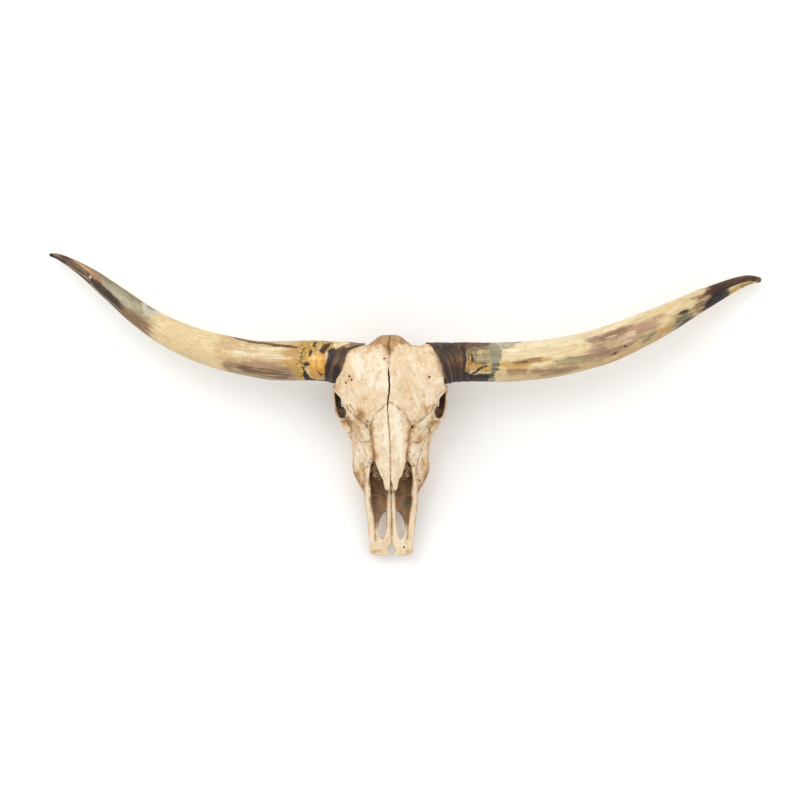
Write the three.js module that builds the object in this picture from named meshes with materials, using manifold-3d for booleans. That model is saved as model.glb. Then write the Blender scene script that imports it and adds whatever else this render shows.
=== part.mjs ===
// Longhorn steer skull without its lower jaw, lying face up on its cheek teeth and the two
// bony prongs behind them, with both horn sheaths on their cores.
// Units are millimetres and +Z is up. While it is built, x runs across the skull from its
// midline to the animal's own left, y runs from the muzzle tip (0) to the poll and z rises from
// the floor (0). At the end the whole skull is moved so that the origin is under the middle of
// its bounding box.

import * as THREE from 'three';
import { LoftGeometry } from 'three/addons/geometries/LoftGeometry.js';
import { mergeVertices } from 'three/addons/utils/BufferGeometryUtils.js';
import Module from 'manifold-3d';

const wasm = await Module();
wasm.setup();

// ---------------------------------------------------------------- driving dimensions

const skullLength = 484;      // muzzle tip to the back of the poll, level with the floor
const seam = 0.6;             // width of the thin cuts along the bone sutures
const farOut = 300;           // reach of the cutting blocks past the skull

const muzzleShift = 3;        // the muzzle's tip stands this far to the left of the poll
const orbit = { y: 334, z: 143 };             // middle of the eye socket's opening
const gum = 24;               // height of the tooth sockets over the floor
const palate = { under: 35, over: 43 };       // lower and upper face of the hard palate

// Forehead: half width and heights of its plate at stations from the front to the poll.
const forehead = [
  { y: 288, half: 80, top: 176, edge: 150, bottom: 128 },
  { y: 304, half: 95, top: 182, edge: 160, bottom: 134 },
  { y: 322, half: 98, top: 188, edge: 167, bottom: 140 },
  { y: 340, half: 100, top: 193, edge: 173, bottom: 148 },
  { y: 353, half: 109, top: 197, edge: 175, bottom: 150 },
  { y: 366, half: 122, top: 200, edge: 174, bottom: 150 },
  { y: 380, half: 119, top: 203, edge: 175, bottom: 146 },
  { y: 400, half: 118, top: 207, edge: 174, bottom: 140 },
  { y: 425, half: 113, top: 211, edge: 172, bottom: 136 },
  { y: 446, half: 101, top: 211, edge: 170, bottom: 136 },
  { y: 459, half: 84, top: 205, edge: 168, bottom: 142 },
  { y: 465, half: 60, top: 194, edge: 168, bottom: 150 },
];

// Face: the outline of a cross section at each station, as five named places on one side.
// ridge is the height at the midline, the others are [distance from the midline, height].
const face = [
  { y: 128, ridge: 112, brow: [22, 102], wall: [51, 74], crest: [56, 54], gum: [47, 31] },
  { y: 141, ridge: 119, brow: [25, 108], wall: [52, 80], crest: [63, 54], gum: [51, 29] },
  { y: 162, ridge: 129, brow: [29, 117], wall: [54, 91], crest: [76, 55], gum: [58, gum] },
  { y: 187, ridge: 138, brow: [33, 127], wall: [56, 103], crest: [85, 60], gum: [66, gum] },
  { y: 215, ridge: 148, brow: [38, 137], wall: [58, 116], crest: [84, 70], gum: [70, gum] },
  { y: 250, ridge: 162, brow: [42, 150], wall: [63, 128], crest: [87, 82], gum: [72, gum] },
  { y: 280, ridge: 173, brow: [47, 163], wall: [74, 138], crest: [97, 98], gum: [71, gum + 4] },
  { y: 302, ridge: 180, brow: [52, 172], wall: [76, 150], crest: [92, 100], gum: [66, gum + 8] },
  { y: 318, ridge: 184, brow: [50, 174], wall: [62, 150], crest: [64, 96], gum: [48, gum + 30] },
];

// Nose cavity: half width, floor and roof height of the hollow, from the muzzle back.
const noseCavity = [
  { y: 84, half: 40, floor: palate.over, roof: 104 },
  { y: 128, half: 44, floor: palate.over, roof: 106 },
  { y: 162, half: 46, floor: palate.over, roof: 121 },
  { y: 187, half: 47, floor: palate.over, roof: 130 },
  { y: 215, half: 46, floor: palate.over + 2, roof: 139 },
  { y: 250, half: 38, floor: palate.over + 8, roof: 151 },
  { y: 290, half: 24, floor: palate.over + 24, roof: 156 },
];

// Hump of the poll: half width, and middle and half height of its section, going back.
const pollHump = [
  { y: 440, half: 60, middle: 174, tall: 36 },
  { y: 455, half: 54, middle: 174, tall: 38 },
  { y: 463, half: 47, middle: 174, tall: 36 },
  { y: 471, half: 36, middle: 173, tall: 30 },
  { y: 479, half: 27, middle: 172, tall: 22 },
  { y: skullLength, half: 17, middle: 171, tall: 11 },
];

// Flat front of the muzzle, one side: inner and outer edge, under and upper face, going back.
const muzzlePlate = [
  { y: -0.5, inner: 9, outer: 38, under: 31, over: 37 },
  { y: 5, inner: 5.5, outer: 46, under: 27, over: 40 },
  { y: 20, inner: 4.5, outer: 47, under: 26, over: 42 },
  { y: 30, inner: 2, outer: 46.5, under: 28, over: 41 },
  { y: 38, inner: -1, outer: 47, under: 30, over: 40 },
  { y: 66, inner: -1, outer: 49, under: 32, over: 40 },
  { y: 100, inner: -1, outer: 52, under: 33, over: 42 },
  { y: 140, inner: -1, outer: 54, under: palate.under, over: palate.over + 1 },
];
const fissure = { x: 20, y: 67, halfWidth: 10.5, halfLength: 29.5 };  // hole through that plate

// Plan outlines [x, y] of the left side's bones, as a skull shows its sutures from above.
const nasalPlan = [
  [0, 156], [3, 145], [9, 141], [15, 146], [18, 164], [19, 170], [25, 174], [30, 195], [36, 217],
  [42, 250], [46, 284], [34, 309], [16, 326], [0, 337],
];
const frontalPlan = [
  [0, 337], [16, 326], [34, 309], [46, 284], [70, 299], [98, 330], [160, 344], [260, 420],
  [260, 520], [0, 520],
];
const lacrimalPlan = [
  [46, 284], [70, 299], [98, 330], [112, 318], [104, 286], [84, 262], [60, 248], [43, 252],
];
// Opening beside the nasal bones, from its notch to the muzzle.
const aperturePlan = [
  [35, 219], [30, 195], [25, 174], [19, 170], [18, 164], [15, 146], [9, 141], [3, 145], [0, 156],
  [-1, 100], [44, 100], [47, 128], [50, 150], [51, 168], [48, 188], [42, 207],
];

// Side outlines [y, z] that bound the bones from below or in front.
const nasalSide = [[130, 104], [217, 134], [300, 158], [342, 172], [342, 260], [130, 260]];
const frontalSide = [[270, 132], [318, 146], [372, 150], [450, 158], [500, 168], [500, 260], [270, 260]];
const lacrimalSide = [[230, 118], [282, 112], [340, 128], [340, 260], [230, 260]];
const zygomaticSide = [[262, 66], [394, 84], [394, 122], [372, 148], [322, 146], [276, 132], [258, 96]];
const incisiveSide = [
  [216, 136], [190, 106], [165, 84], [144, 66], [122, 20], [-20, -20], [-20, 140], [216, 150],
];
const craniumSide = [[312, -20], [520, -20], [520, 260], [312, 260]];
const cheekFrom = 86;         // the cheek bones start this far from the midline
const coreSide = [[376, 100], [480, 100], [480, 200], [376, 200]];
const coreFrom = 99;          // and the horn cores this far

// Cheek teeth of one side from the front: three premolars, then three molars.
const cheekTeeth = [
  { y: 170, x: 52, length: 17, width: 17 },
  { y: 188, x: 55, length: 18, width: 19 },
  { y: 206, x: 58, length: 18, width: 21 },
  { y: 228, x: 60, length: 25, width: 23 },
  { y: 254, x: 61, length: 27, width: 24 },
  { y: 282, x: 61, length: 29, width: 22 },
];

// Eye socket's rim on the left side, [x, y, z] once round from its back upper corner.
const orbitRim = [
  [118, 365, 170], [117, 366, 143], [116, 354, 117], [115, 332, 110], [110, 310, 113],
  [105, 301, 133], [97, 304, 156], [95, 322, 168], [101, 346, 174],
];

// Horns: middle line [x, y, z] and thickness along it, from the rim of the sheath to the tip.
const hornSide = {
  right: [
    { at: [-101, 420, 156], thick: 90 }, { at: [-150, 428, 155], thick: 88 },
    { at: [-225, 428, 151], thick: 87 }, { at: [-302, 433, 143], thick: 81 },
    { at: [-408, 457, 125], thick: 74 }, { at: [-516, 505, 100], thick: 60 },
    { at: [-624, 586, 70], thick: 42 }, { at: [-680, 628, 52], thick: 27 },
    { at: [-732, 658, 38], thick: 13 }, { at: [-760, 666, 32], thick: 5 },
  ],
  left: [
    { at: [103, 420, 156], thick: 90 }, { at: [150, 425, 155], thick: 87 },
    { at: [225, 425, 151], thick: 86 }, { at: [302, 428, 144], thick: 87 },
    { at: [382, 438, 134], thick: 84 }, { at: [488, 467, 114], thick: 80 },
    { at: [594, 513, 88], thick: 67 }, { at: [706, 570, 58], thick: 43 },
    { at: [786, 606, 38], thick: 21 }, { at: [828, 610, 30], thick: 6 },
  ],
};
const sheath = { wall: 5, coreGap: 2, mouthDepth: 64, flatness: 0.94 };
const rimFacing = new THREE.Vector3(0.904, 0.357, -0.235);    // lean of the left sheath's mouth

const boneFinish = new THREE.MeshStandardMaterial({ color: 0xd9c29c, roughness: 0.75, metalness: 0 });
const hornFinish = new THREE.MeshStandardMaterial({ color: 0xc9a55c, roughness: 0.45, metalness: 0 });

// ---------------------------------------------------------------- helpers

const vec = (p) => new THREE.Vector3(...p);
const mirrored = (p) => [-p[0], p[1], p[2]];

// A closed three.js geometry as a solid that can be joined and cut.
function solid(geometry) {
  const bare = new THREE.BufferGeometry();
  bare.setAttribute('position', geometry.getAttribute('position'));
  bare.setIndex(geometry.index);
  const merged = mergeVertices(bare, 1e-3);
  return new wasm.Manifold(new wasm.Mesh({
    numProp: 3,
    vertProperties: merged.attributes.position.array,
    triVerts: new Uint32Array(merged.index.array),
  }));
}

// The solid as a mesh's geometry, with every point moved by move, a change made in place.
function geometryOf(body, move = () => {}) {
  const mesh = body.getMesh();
  const geometry = new THREE.BufferGeometry();
  for (let i = 0; i < mesh.vertProperties.length; i += 3) move(mesh.vertProperties.subarray(i, i + 3));
  geometry.setAttribute('position', new THREE.BufferAttribute(mesh.vertProperties, 3));
  geometry.setIndex(new THREE.BufferAttribute(mesh.triVerts, 1));
  geometry.computeVertexNormals();
  return geometry;
}

const joined = (bodies) => bodies.reduce((all, body) => all.add(body));

// Skins closed rings of points into a solid. Each ring has to wind counterclockwise as seen
// from the far end, so rings that wind the other way are turned round.
function loft(rings, capped = true) {
  const middleOf = (points) => points
    .reduce((sum, p) => sum.add(p), new THREE.Vector3()).divideScalar(points.length);
  const middle = middleOf(rings[0]);
  const winding = new THREE.Vector3();
  rings[0].forEach((p, i, all) => {
    const next = all[(i + 1) % all.length].clone().sub(middle);
    winding.add(p.clone().sub(middle).cross(next));
  });
  const onward = middleOf(rings[1]).sub(middle);
  const sections = winding.dot(onward) > 0 ? rings : rings.map((points) => [...points].reverse());
  return solid(new LoftGeometry(sections, { capStart: capped, capEnd: capped }));
}

// Every number of the stations' records as a smooth function of y.
function along(stations) {
  const names = Object.keys(stations[0]).filter((name) => name !== 'y');
  const flat = (station) => names.flatMap((name) => station[name]);
  const size = flat(stations[0]).length;
  const curve = new THREE.CubicInterpolant(
    stations.map((station) => station.y), stations.flatMap(flat), size);
  return (y) => Array.from(curve.evaluate(y));
}

// Stations spread evenly from the first y to the last.
function levels(stations, count) {
  const first = stations[0].y;
  const last = stations[stations.length - 1].y;
  return Array.from({ length: count }, (_, i) => first + ((last - first) * i) / (count - 1));
}

// Signed power, which makes an ellipse squarer (power over 2) or leaner.
const squared = (value, power) => Math.sign(value) * Math.abs(value) ** (2 / power);

// Points round a section, each made from its angle.
const ring = (sides, place) =>
  Array.from({ length: sides }, (_, i) => place((i / sides) * 2 * Math.PI));

// A bar along a path of [x, y, z] points: an oval section whose width lies across the path
// and up, and whose depth lies along up. sizes gives [width, depth] at each point.
function bar(points, sizes, { up = [0, 0, 1], steps = 12, sides = 10, power = 2.3, closed = false } = {}) {
  const path = new THREE.CatmullRomCurve3(points.map(vec), closed, 'centripetal');
  const rings = [];
  for (let i = 0; i < steps + (closed ? 0 : 1); i++) {
    const t = i / steps;
    const middle = path.getPoint(t);
    const forward = path.getTangent(t);
    const across = new THREE.Vector3().crossVectors(forward, vec(up)).normalize();
    const upward = new THREE.Vector3().crossVectors(across, forward).normalize();
    const spot = t * (closed ? sizes.length : sizes.length - 1);
    const low = Math.floor(spot);
    const next = closed ? (low + 1) % sizes.length : Math.min(low + 1, sizes.length - 1);
    const [width, depth] = [0, 1].map((k) => THREE.MathUtils.lerp(sizes[low][k], sizes[next][k], spot - low));
    rings.push(ring(sides, (a) => middle.clone()
      .addScaledVector(across, (width / 2) * squared(Math.cos(a), power))
      .addScaledVector(upward, (depth / 2) * squared(Math.sin(a), power))));
  }
  if (closed) rings.push(rings[0]);
  return loft(rings, !closed);
}

function ellipsoid([x, y, z], [rx, ry, rz], across = 20, tall = 12) {
  const ball = new THREE.SphereGeometry(1, across, tall);
  ball.scale(rx, ry, rz);
  ball.translate(x, y, z);
  return solid(ball);
}

function block([x0, y0, z0], [x1, y1, z1]) {
  const box = new THREE.BoxGeometry(x1 - x0, y1 - y0, z1 - z0);
  box.translate((x0 + x1) / 2, (y0 + y1) / 2, (z0 + z1) / 2);
  return solid(box);
}

const bothSides = (build) => build((p) => p).add(build(mirrored));

// An outline with every edge moved inwards by a distance, or outwards if it is negative.
function inset(outline, by) {
  const points = outline.map((p) => new THREE.Vector2(...p));
  const turn = Math.sign(THREE.ShapeUtils.area(points));
  const normal = (a, b) => new THREE.Vector2(a.y - b.y, b.x - a.x).normalize().multiplyScalar(turn);
  return points.map((p, i) => {
    const before = normal(points.at(i - 1), p);
    const after = normal(p, points[(i + 1) % points.length]);
    const corner = before.clone().add(after);
    return p.clone().addScaledVector(corner, by / Math.max(0.5, 1 + before.dot(after)));
  });
}

// A block whose outline is given from above (x, y) or from the side (y, z).
function fromAbove(outline, by, low = -farOut, high = farOut) {
  const body = new THREE.ExtrudeGeometry(new THREE.Shape(inset(outline, by)),
    { depth: high - low, bevelEnabled: false });
  body.translate(0, 0, low);
  return solid(body);
}
function fromSide(outline, by, low = -farOut, high = farOut) {
  const body = new THREE.ExtrudeGeometry(new THREE.Shape(inset(outline, by)),
    { depth: high - low, bevelEnabled: false });
  // The outline's own x and y become y and z, and its depth becomes x.
  body.applyMatrix4(new THREE.Matrix4().set(0, 0, 1, low, 1, 0, 0, 0, 0, 1, 0, 0, 0, 0, 0, 1));
  return solid(body);
}

// ---------------------------------------------------------------- the whole skull

// Forehead plate from the brows to the poll: flat on top and rounded at its edges.
function foreheadPlate() {
  const at = along(forehead);
  const power = 2.9;
  return loft(levels(forehead, 11).map((y) => {
    const [half, top, edge, bottom] = at(y);
    return ring(16, (a) => {
      const rise = Math.sin(a) > 0 ? top - edge : edge - bottom;
      return new THREE.Vector3(
        half * squared(Math.cos(a), power), y, edge + rise * squared(Math.sin(a), power));
    });
  }));
}

// Face from the eye sockets to the muzzle, with the nasal ridge on top and the palate below.
function facePrism() {
  const at = along(face);
  return loft(levels(face, 9).map((y) => {
    const [ridge, bx, bz, wx, wz, cx, cz, gx, gz] = at(y);
    const sideOf = [[bx, bz], [wx, wz], [cx, cz], [gx, gz], [gx * 0.72, palate.under]];
    const middleOf = [[0, ridge], [0, palate.under]];
    const outline = [
      middleOf[0], ...sideOf, middleOf[1], ...sideOf.map(([x, z]) => [-x, z]).reverse(),
    ].map(([x, z]) => new THREE.Vector3(x, y, z));
    return new THREE.CatmullRomCurve3(outline, true, 'centripetal').getPoints(18).slice(0, -1);
  }));
}

function braincase() {
  const vault = ellipsoid([0, 384, 130], [66, 66, 62], 12, 7);
  const poll = loft(pollHump.map(({ y, half, middle, tall }) => ring(12, (a) => new THREE.Vector3(
    half * squared(Math.cos(a), 2.2), y, middle + tall * squared(Math.sin(a), 2.2)))));
  const base = bar(
    [[0, 446, 62], [0, 410, 62], [0, 370, 70], [0, 330, 80], [0, 306, 84]],
    [[50, 26], [44, 24], [36, 24], [34, 30], [40, 34]], { steps: 4, sides: 8 });
  return joined([vault, poll, base, nape()]);
}

// Back wall of the skull, broadest behind the ears and leaning back to the poll.
function nape() {
  const wall = [
    { z: 54, half: 44, y: 438, thick: 22 }, { z: 74, half: 80, y: 436, thick: 26 },
    { z: 100, half: 98, y: 436, thick: 30 }, { z: 130, half: 98, y: 438, thick: 34 },
    { z: 160, half: 86, y: 442, thick: 34 }, { z: 188, half: 76, y: 446, thick: 30 },
  ];
  return loft(wall.map(({ z, half, y, thick }) => ring(12, (a) => new THREE.Vector3(
    half * squared(Math.cos(a), 2.8), y + (thick / 2) * squared(Math.sin(a), 2.8), z))));
}

// Knuckles either side of the spinal opening, and the prongs beside them that reach the floor.
function occiput(side) {
  const condyle = bar([[13, 448, 40], [27, 452, 52], [34, 450, 70], [30, 444, 84]].map(side),
    [[18, 20], [27, 30], [27, 30], [14, 18]], { up: [0, 1, 0], steps: 3, sides: 6 });
  const prong = bar([[80, 434, 96], [78, 431, 60], [73, 425, 28], [68, 419, 0]].map(side),
    [[24, 38], [18, 34], [13, 25], [10, 15]], { up: [0, 1, 0], steps: 3, sides: 6 });
  const bulla = ellipsoid(side([45, 400, 56]), [15, 20, 18], 6, 4);
  return joined([condyle, prong, bulla]);
}

// Thin wall behind the palate.
function pterygoid(side) {
  return bar([[30, 300, 52], [27, 322, 56], [24, 346, 64]].map(side),
    [[8, 52], [7, 58], [6, 40]], { steps: 2, sides: 6 });
}

// Cheek bar from below the eye to the ear, and its root on the braincase.
function cheekArch(side) {
  const arch = bar([[88, 276, 106], [104, 298, 110], [114, 326, 106], [115, 356, 104],
    [110, 382, 106], [94, 404, 108], [66, 410, 108]].map(side),
  [[22, 42], [16, 30], [14, 20], [12, 19], [11, 17], [20, 18], [30, 30]], { steps: 8, sides: 6 });
  const joint = ellipsoid(side([82, 394, 98]), [26, 16, 10], 8, 4);
  return arch.add(joint);
}

// Thin swelling that closes the front and floor of the eye socket.
const socketFloor = (side) => ellipsoid(side([85, 309, 116]), [25, 24, 18], 8, 4);

function socketRim(side) {
  return bar(orbitRim.map(side), orbitRim.map(() => [11, 14]),
    { up: [1, 0, 0], steps: 12, sides: 5, closed: true });
}

// Upper end of the bar behind the eye, where the brow comes down to the cheek arch.
function browPost(side) {
  return bar([[108, 372, 172], [117, 370, 150], [117, 362, 124], [115, 352, 108]].map(side),
    [[26, 22], [16, 16], [15, 15], [16, 14]], { up: [1, 0, 0], steps: 3, sides: 6 });
}

// Hollow of the eye socket, open to the side, behind and below.
function socketHollow(side) {
  const bowl = ellipsoid(side([112, orbit.y, orbit.z - 4]), [52, 31, 29], 10, 6);
  const behind = bar([[100, 340, 136], [92, 356, 118], [88, 372, 100]].map(side),
    [[34, 30], [34, 40], [30, 44]], { steps: 2, sides: 6 });
  return bowl.add(behind);
}

// Flat front of the muzzle with its hole, the long arm that climbs from it beside the nose,
// and the slender rod beside the midline.
function muzzleBone(side) {
  const plate = loft(muzzlePlate.map(({ y, inner, outer, under, over }) => ring(8, (a) => vec(side([
    (inner + outer) / 2 + ((outer - inner) / 2) * squared(Math.cos(a), 3.4), y,
    (under + over) / 2 + ((over - under) / 2) * squared(Math.sin(a), 2.8)])))));
  const { x, y, halfWidth, halfLength } = fissure;
  const hole = fromAbove(new THREE.EllipseCurve(x, y, halfWidth, halfLength).getPoints(11)
    .slice(1).map((p) => side([p.x, p.y]).slice(0, 2)), 0);
  const arm = bar([[41, 212, 122], [47, 194, 104], [51, 170, 88], [53, 142, 70], [51.5, 112, 56],
    [47, 84, 47], [44, 56, 42], [42, 32, 38], [38, 16, 35]].map(side),
  [[3, 8], [7, 24], [9, 34], [12, 36], [15, 30], [16, 22], [15, 17], [13, 13], [10, 10]], { steps: 7, sides: 6 });
  const rod = bar([[4, 156, 50], [4.5, 120, 46], [5.5, 84, 42], [8, 52, 39], [13, 30, 38]].map(side),
    [[7, 12], [8, 14], [9, 12], [10, 9], [12, 8]], { steps: 3, sides: 5 });
  return joined([plate.subtract(hole), arm, rod]);
}

// Upright blade along the floor of the nose.
function vomer() {
  return bar([[0, 150, 52], [0, 200, 58], [0, 250, 68], [0, 300, 84]],
    [[6, 22], [7, 34], [8, 46], [10, 52]], { steps: 4, sides: 6 });
}

function nose() {
  const at = along(noseCavity);
  return loft(levels(noseCavity, 5).map((y) => {
    const [half, floor, roof] = at(y);
    const middle = (floor + roof) / 2;
    return ring(10, (a) => new THREE.Vector3(half * squared(Math.cos(a), 2.8), y,
      middle + ((roof - floor) / 2) * squared(Math.sin(a), 2.8)));
  }));
}

// One cheek tooth: a squarish crown with a flat chewing face on the floor.
function tooth(side, { x, y, length, width }) {
  const grip = gum + 10;
  const section = (z, grow) => ring(8, (a) => vec(side([
    x + (width / 2) * grow * squared(Math.cos(a), 3.2),
    y + (length / 2) * grow * squared(Math.sin(a), 3.2), z])));
  return loft([section(0, 0.96), section(grip, 0.94)]);
}

// Horn core: the bony stub that the sheath sits on.
function hornCore(name) {
  const [mouth, next] = hornSide[name].map((station) => vec(station.at));
  const outward = next.clone().sub(mouth).normalize();
  const reach = sheath.mouthDepth - 6;
  const deep = mouth.clone().addScaledVector(outward, reach);
  const root = mouth.clone().addScaledVector(outward, -34);
  const wide = hornSide[name][0].thick - 2 * (sheath.wall + sheath.coreGap);
  return bar([root.toArray(), mouth.toArray(), deep.toArray()],
    [[wide - 4, wide - 4], [wide, wide * sheath.flatness], [wide - 16, wide - 20]],
    { steps: 2, sides: 12, power: 2 });
}

// Horn sheath as a loft round its middle line. The first rings lean to the mouth's plane.
function hornBody(name, { grow = 0, steps = 15, sides = 14 } = {}) {
  const stations = hornSide[name];
  const path = new THREE.CatmullRomCurve3(stations.map((s) => vec(s.at)), false, 'centripetal');
  const facing = rimFacing.clone();
  if (name === 'right') facing.x *= -1;
  const rings = [];
  for (let i = 0; i <= steps; i++) {
    const t = (i / steps) ** 1.12;
    const spot = t * (stations.length - 1);
    const low = Math.min(Math.floor(spot), stations.length - 2);
    const thick = THREE.MathUtils.lerp(stations[low].thick, stations[low + 1].thick, spot - low);
    const lean = 1 - THREE.MathUtils.smoothstep(t, 0, 0.14);
    const forward = path.getTangent(t);
    const plane = forward.clone().lerp(facing, lean).normalize();
    const across = new THREE.Vector3(0, 0, 1).cross(forward).normalize();
    const upward = forward.clone().cross(across).normalize();
    const middle = path.getPoint(t);
    const radius = thick / 2 + grow;
    rings.push(ring(sides, (a) => {
      const off = across.clone().multiplyScalar(radius * Math.cos(a))
        .addScaledVector(upward, radius * sheath.flatness * Math.sin(a));
      // Slides each point along the horn until it lies in the leaning plane.
      return middle.clone().add(off).addScaledVector(forward, -off.dot(plane) / forward.dot(plane));
    }));
  }
  return loft(rings);
}

// Mouth of the sheath: a tapered hollow that leaves the wall and a gap round the core.
function sheathHollow(name) {
  const [mouth, next] = hornSide[name].map((station) => vec(station.at));
  const outward = next.clone().sub(mouth).normalize();
  const wide = hornSide[name][0].thick - 2 * sheath.wall;
  const start = mouth.clone().addScaledVector(outward, -30);
  const end = mouth.clone().addScaledVector(outward, sheath.mouthDepth);
  return bar([start.toArray(), mouth.toArray(), end.toArray()],
    [[wide + 2, wide * sheath.flatness + 2], [wide, wide * sheath.flatness], [wide - 12, wide - 16]],
    { steps: 2, sides: 14, power: 2 });
}

function wholeSkull() {
  const spinalOpening = bar([[0, 500, 74], [0, 450, 74], [0, 396, 82]], [[34, 36], [36, 36], [28, 26]],
    { steps: 2, sides: 8 });
  const pair = (build) => bothSides((side) => build(side));
  let skull = joined([foreheadPlate(), braincase(), pair(occiput)]);
  // The temple's hollow, under the horn and behind the eye.
  skull = skull.subtract(pair((side) => ellipsoid(side([118, 398, 128]), [52, 34, 26], 10, 6)));
  skull = joined([skull, facePrism(), pair(pterygoid)]);
  skull = skull.subtract(nose()).add(vomer());
  skull = skull.subtract(pair((side) =>
    fromAbove(aperturePlan.map(([x, y]) => side([x, y]).slice(0, 2)), 0, 90, farOut)));
  skull = skull.subtract(pair(socketHollow));
  skull = joined([skull, pair(cheekArch), pair(socketFloor), pair(socketRim), pair(browPost),
    pair(muzzleBone), pair((side) => joined(cheekTeeth.map((one) => tooth(side, one))))]);
  skull = skull.subtract(spinalOpening);
  // The horn sheaths stand clear of the bone, and the cores reach into them.
  for (const name of ['left', 'right']) {
    skull = skull.subtract(hornBody(name, { grow: seam })).add(hornCore(name));
  }
  return skull.subtract(block([-farOut, -farOut, -farOut], [farOut, 600, 0]));
}

// ---------------------------------------------------------------- bones and horns

// Cuts the whole skull along its sutures. A bone is what lies inside its outlines, drawn in by
// half a seam, and the rest goes on without those outlines, drawn out by half a seam. What is
// left over behind the face is the cranium, which is one bone across both sides.
function bones(skull) {
  const found = {};
  const names = ['nasal', 'frontal', 'lacrimal'];
  const plans = { nasal: nasalPlan, frontal: frontalPlan, lacrimal: lacrimalPlan };
  const sides = { nasal: nasalSide, frontal: frontalSide, lacrimal: lacrimalSide };
  let cranium = skull.intersect(fromSide(craniumSide, seam / 2));
  for (const name of ['left', 'right']) {
    const turned = ([x, y]) => [name === 'right' ? -x : x, y];
    const span = (from, to) => [turned([from, 0])[0], turned([to, 0])[0]].sort((a, b) => a - b);
    const knives = {
      zygomatic: (by) => fromSide(zygomaticSide, by, ...span(cheekFrom + by, farOut)),
    };
    for (const bone of names) {
      knives[bone] = (by) => fromSide(sides[bone], by).intersect(fromAbove(plans[bone].map(turned), by));
    }
    // The whole horn core belongs to the frontal bone.
    const brow = knives.frontal;
    knives.frontal = (by) => brow(by).add(fromSide(coreSide, by, ...span(coreFrom + by, farOut)));
    const [low, high] = span(seam / 2, farOut);
    let rest = skull.intersect(block([low, -farOut, -farOut], [high, 2 * farOut, farOut]));
    for (const [bone, knife] of Object.entries(knives)) {
      found[`${bone}_${name}`] = rest.intersect(knife(seam / 2));
      rest = rest.subtract(knife(-seam / 2));
      cranium = cranium.subtract(knife(-seam / 2));
    }
    found[`incisive_${name}`] = rest.intersect(fromSide(incisiveSide, seam / 2));
    rest = rest.subtract(fromSide(incisiveSide, -seam / 2));
    found[`maxilla_${name}`] = rest.subtract(fromSide(craniumSide, -seam / 2));
  }
  return { cranium, ...found };
}

// The largest piece of a cut body, without the chips that the cut left loose.
const withoutChips = (body) => body.decompose().sort((a, b) => b.volume() - a.volume())[0];

// Leans the face a little to the left, from nothing at the brows to the whole shift at the tip.
const leanFace = (point) => {
  point[0] += muzzleShift * Math.max(0, 1 - point[1] / forehead[6].y);
};

const model = new THREE.Group();
const addMesh = (name, geometry, finish) => {
  const mesh = new THREE.Mesh(geometry, finish);
  mesh.name = name;
  model.add(mesh);
};
for (const [name, body] of Object.entries(bones(wholeSkull()))) {
  addMesh(name, geometryOf(withoutChips(body), leanFace), boneFinish);
}
for (const name of ['left', 'right']) {
  addMesh('horn_' + name, geometryOf(hornBody(name).subtract(sheathHollow(name))), hornFinish);
}

// Puts the origin on the floor under the middle of the whole piece.
const extent = new THREE.Box3().setFromObject(model);
model.position.set(-(extent.min.x + extent.max.x) / 2, -(extent.min.y + extent.max.y) / 2, -extent.min.z);
model.updateMatrixWorld(true);

export default model;
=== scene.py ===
import math

import bpy
import numpy as np
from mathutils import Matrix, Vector, kdtree
from mathutils.bvhtree import BVHTree


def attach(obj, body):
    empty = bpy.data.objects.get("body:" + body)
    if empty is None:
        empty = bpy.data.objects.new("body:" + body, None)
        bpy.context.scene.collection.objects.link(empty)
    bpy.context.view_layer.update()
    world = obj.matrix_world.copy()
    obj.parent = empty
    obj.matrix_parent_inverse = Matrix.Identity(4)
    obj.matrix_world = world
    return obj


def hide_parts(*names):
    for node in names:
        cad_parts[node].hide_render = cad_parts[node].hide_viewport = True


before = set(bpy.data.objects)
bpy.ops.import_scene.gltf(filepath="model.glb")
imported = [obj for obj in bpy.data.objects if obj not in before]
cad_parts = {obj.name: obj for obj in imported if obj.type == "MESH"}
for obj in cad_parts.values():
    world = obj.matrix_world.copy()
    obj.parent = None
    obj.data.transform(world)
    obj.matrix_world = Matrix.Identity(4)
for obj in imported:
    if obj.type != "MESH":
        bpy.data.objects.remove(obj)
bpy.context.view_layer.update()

# Shapes are worked out in skull millimetres: x from the midline to the animal's own left,
# y from the muzzle's tip to the poll, z up from the floor. skullZero is the row frame's origin.
skullZero = np.array([33.9, 334.0, 0.0])


def toRow(points):
    # Metres in the row frame: millimetres less the origin, over a thousand.
    return (np.asarray(points, float) - skullZero) / 1000


def toSkull(points):
    # The way back: metres times a thousand, plus the origin.
    return np.asarray(points, float) * 1000 + skullZero


def smoothTable(keys, values, at):
    # A cubic between each pair of keys, whose slope at a key is the mean slope on both sides.
    keys = np.asarray(keys, float)
    values = np.asarray(values, float).reshape(len(keys), -1)
    slope = np.gradient(values, keys, axis=0)
    at = np.clip(np.atleast_1d(np.asarray(at, float)), keys[0], keys[-1])
    i = np.clip(np.searchsorted(keys, at, side="right") - 1, 0, len(keys) - 2)
    gap = (keys[i + 1] - keys[i])[:, None]
    t = (at - keys[i])[:, None] / gap
    return ((1 + 2 * t) * (1 - t) ** 2 * values[i] + t * (1 - t) ** 2 * gap * slope[i]
            + t * t * (3 - 2 * t) * values[i + 1] - t * t * (1 - t) * gap * slope[i + 1])


def closedCurve(points, count):
    # Smooth closed curve through the points. Its clock runs with the root of their spacing.
    points = np.asarray(points, float)
    around = np.concatenate([points[-3:], points, points[:4]])
    steps = np.sqrt(np.linalg.norm(np.diff(around, axis=0), axis=1))
    clock = np.concatenate([[0], np.cumsum(steps)])
    at = np.linspace(clock[3], clock[3 + len(points)], count, endpoint=False)
    return smoothTable(clock, around, at)


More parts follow.
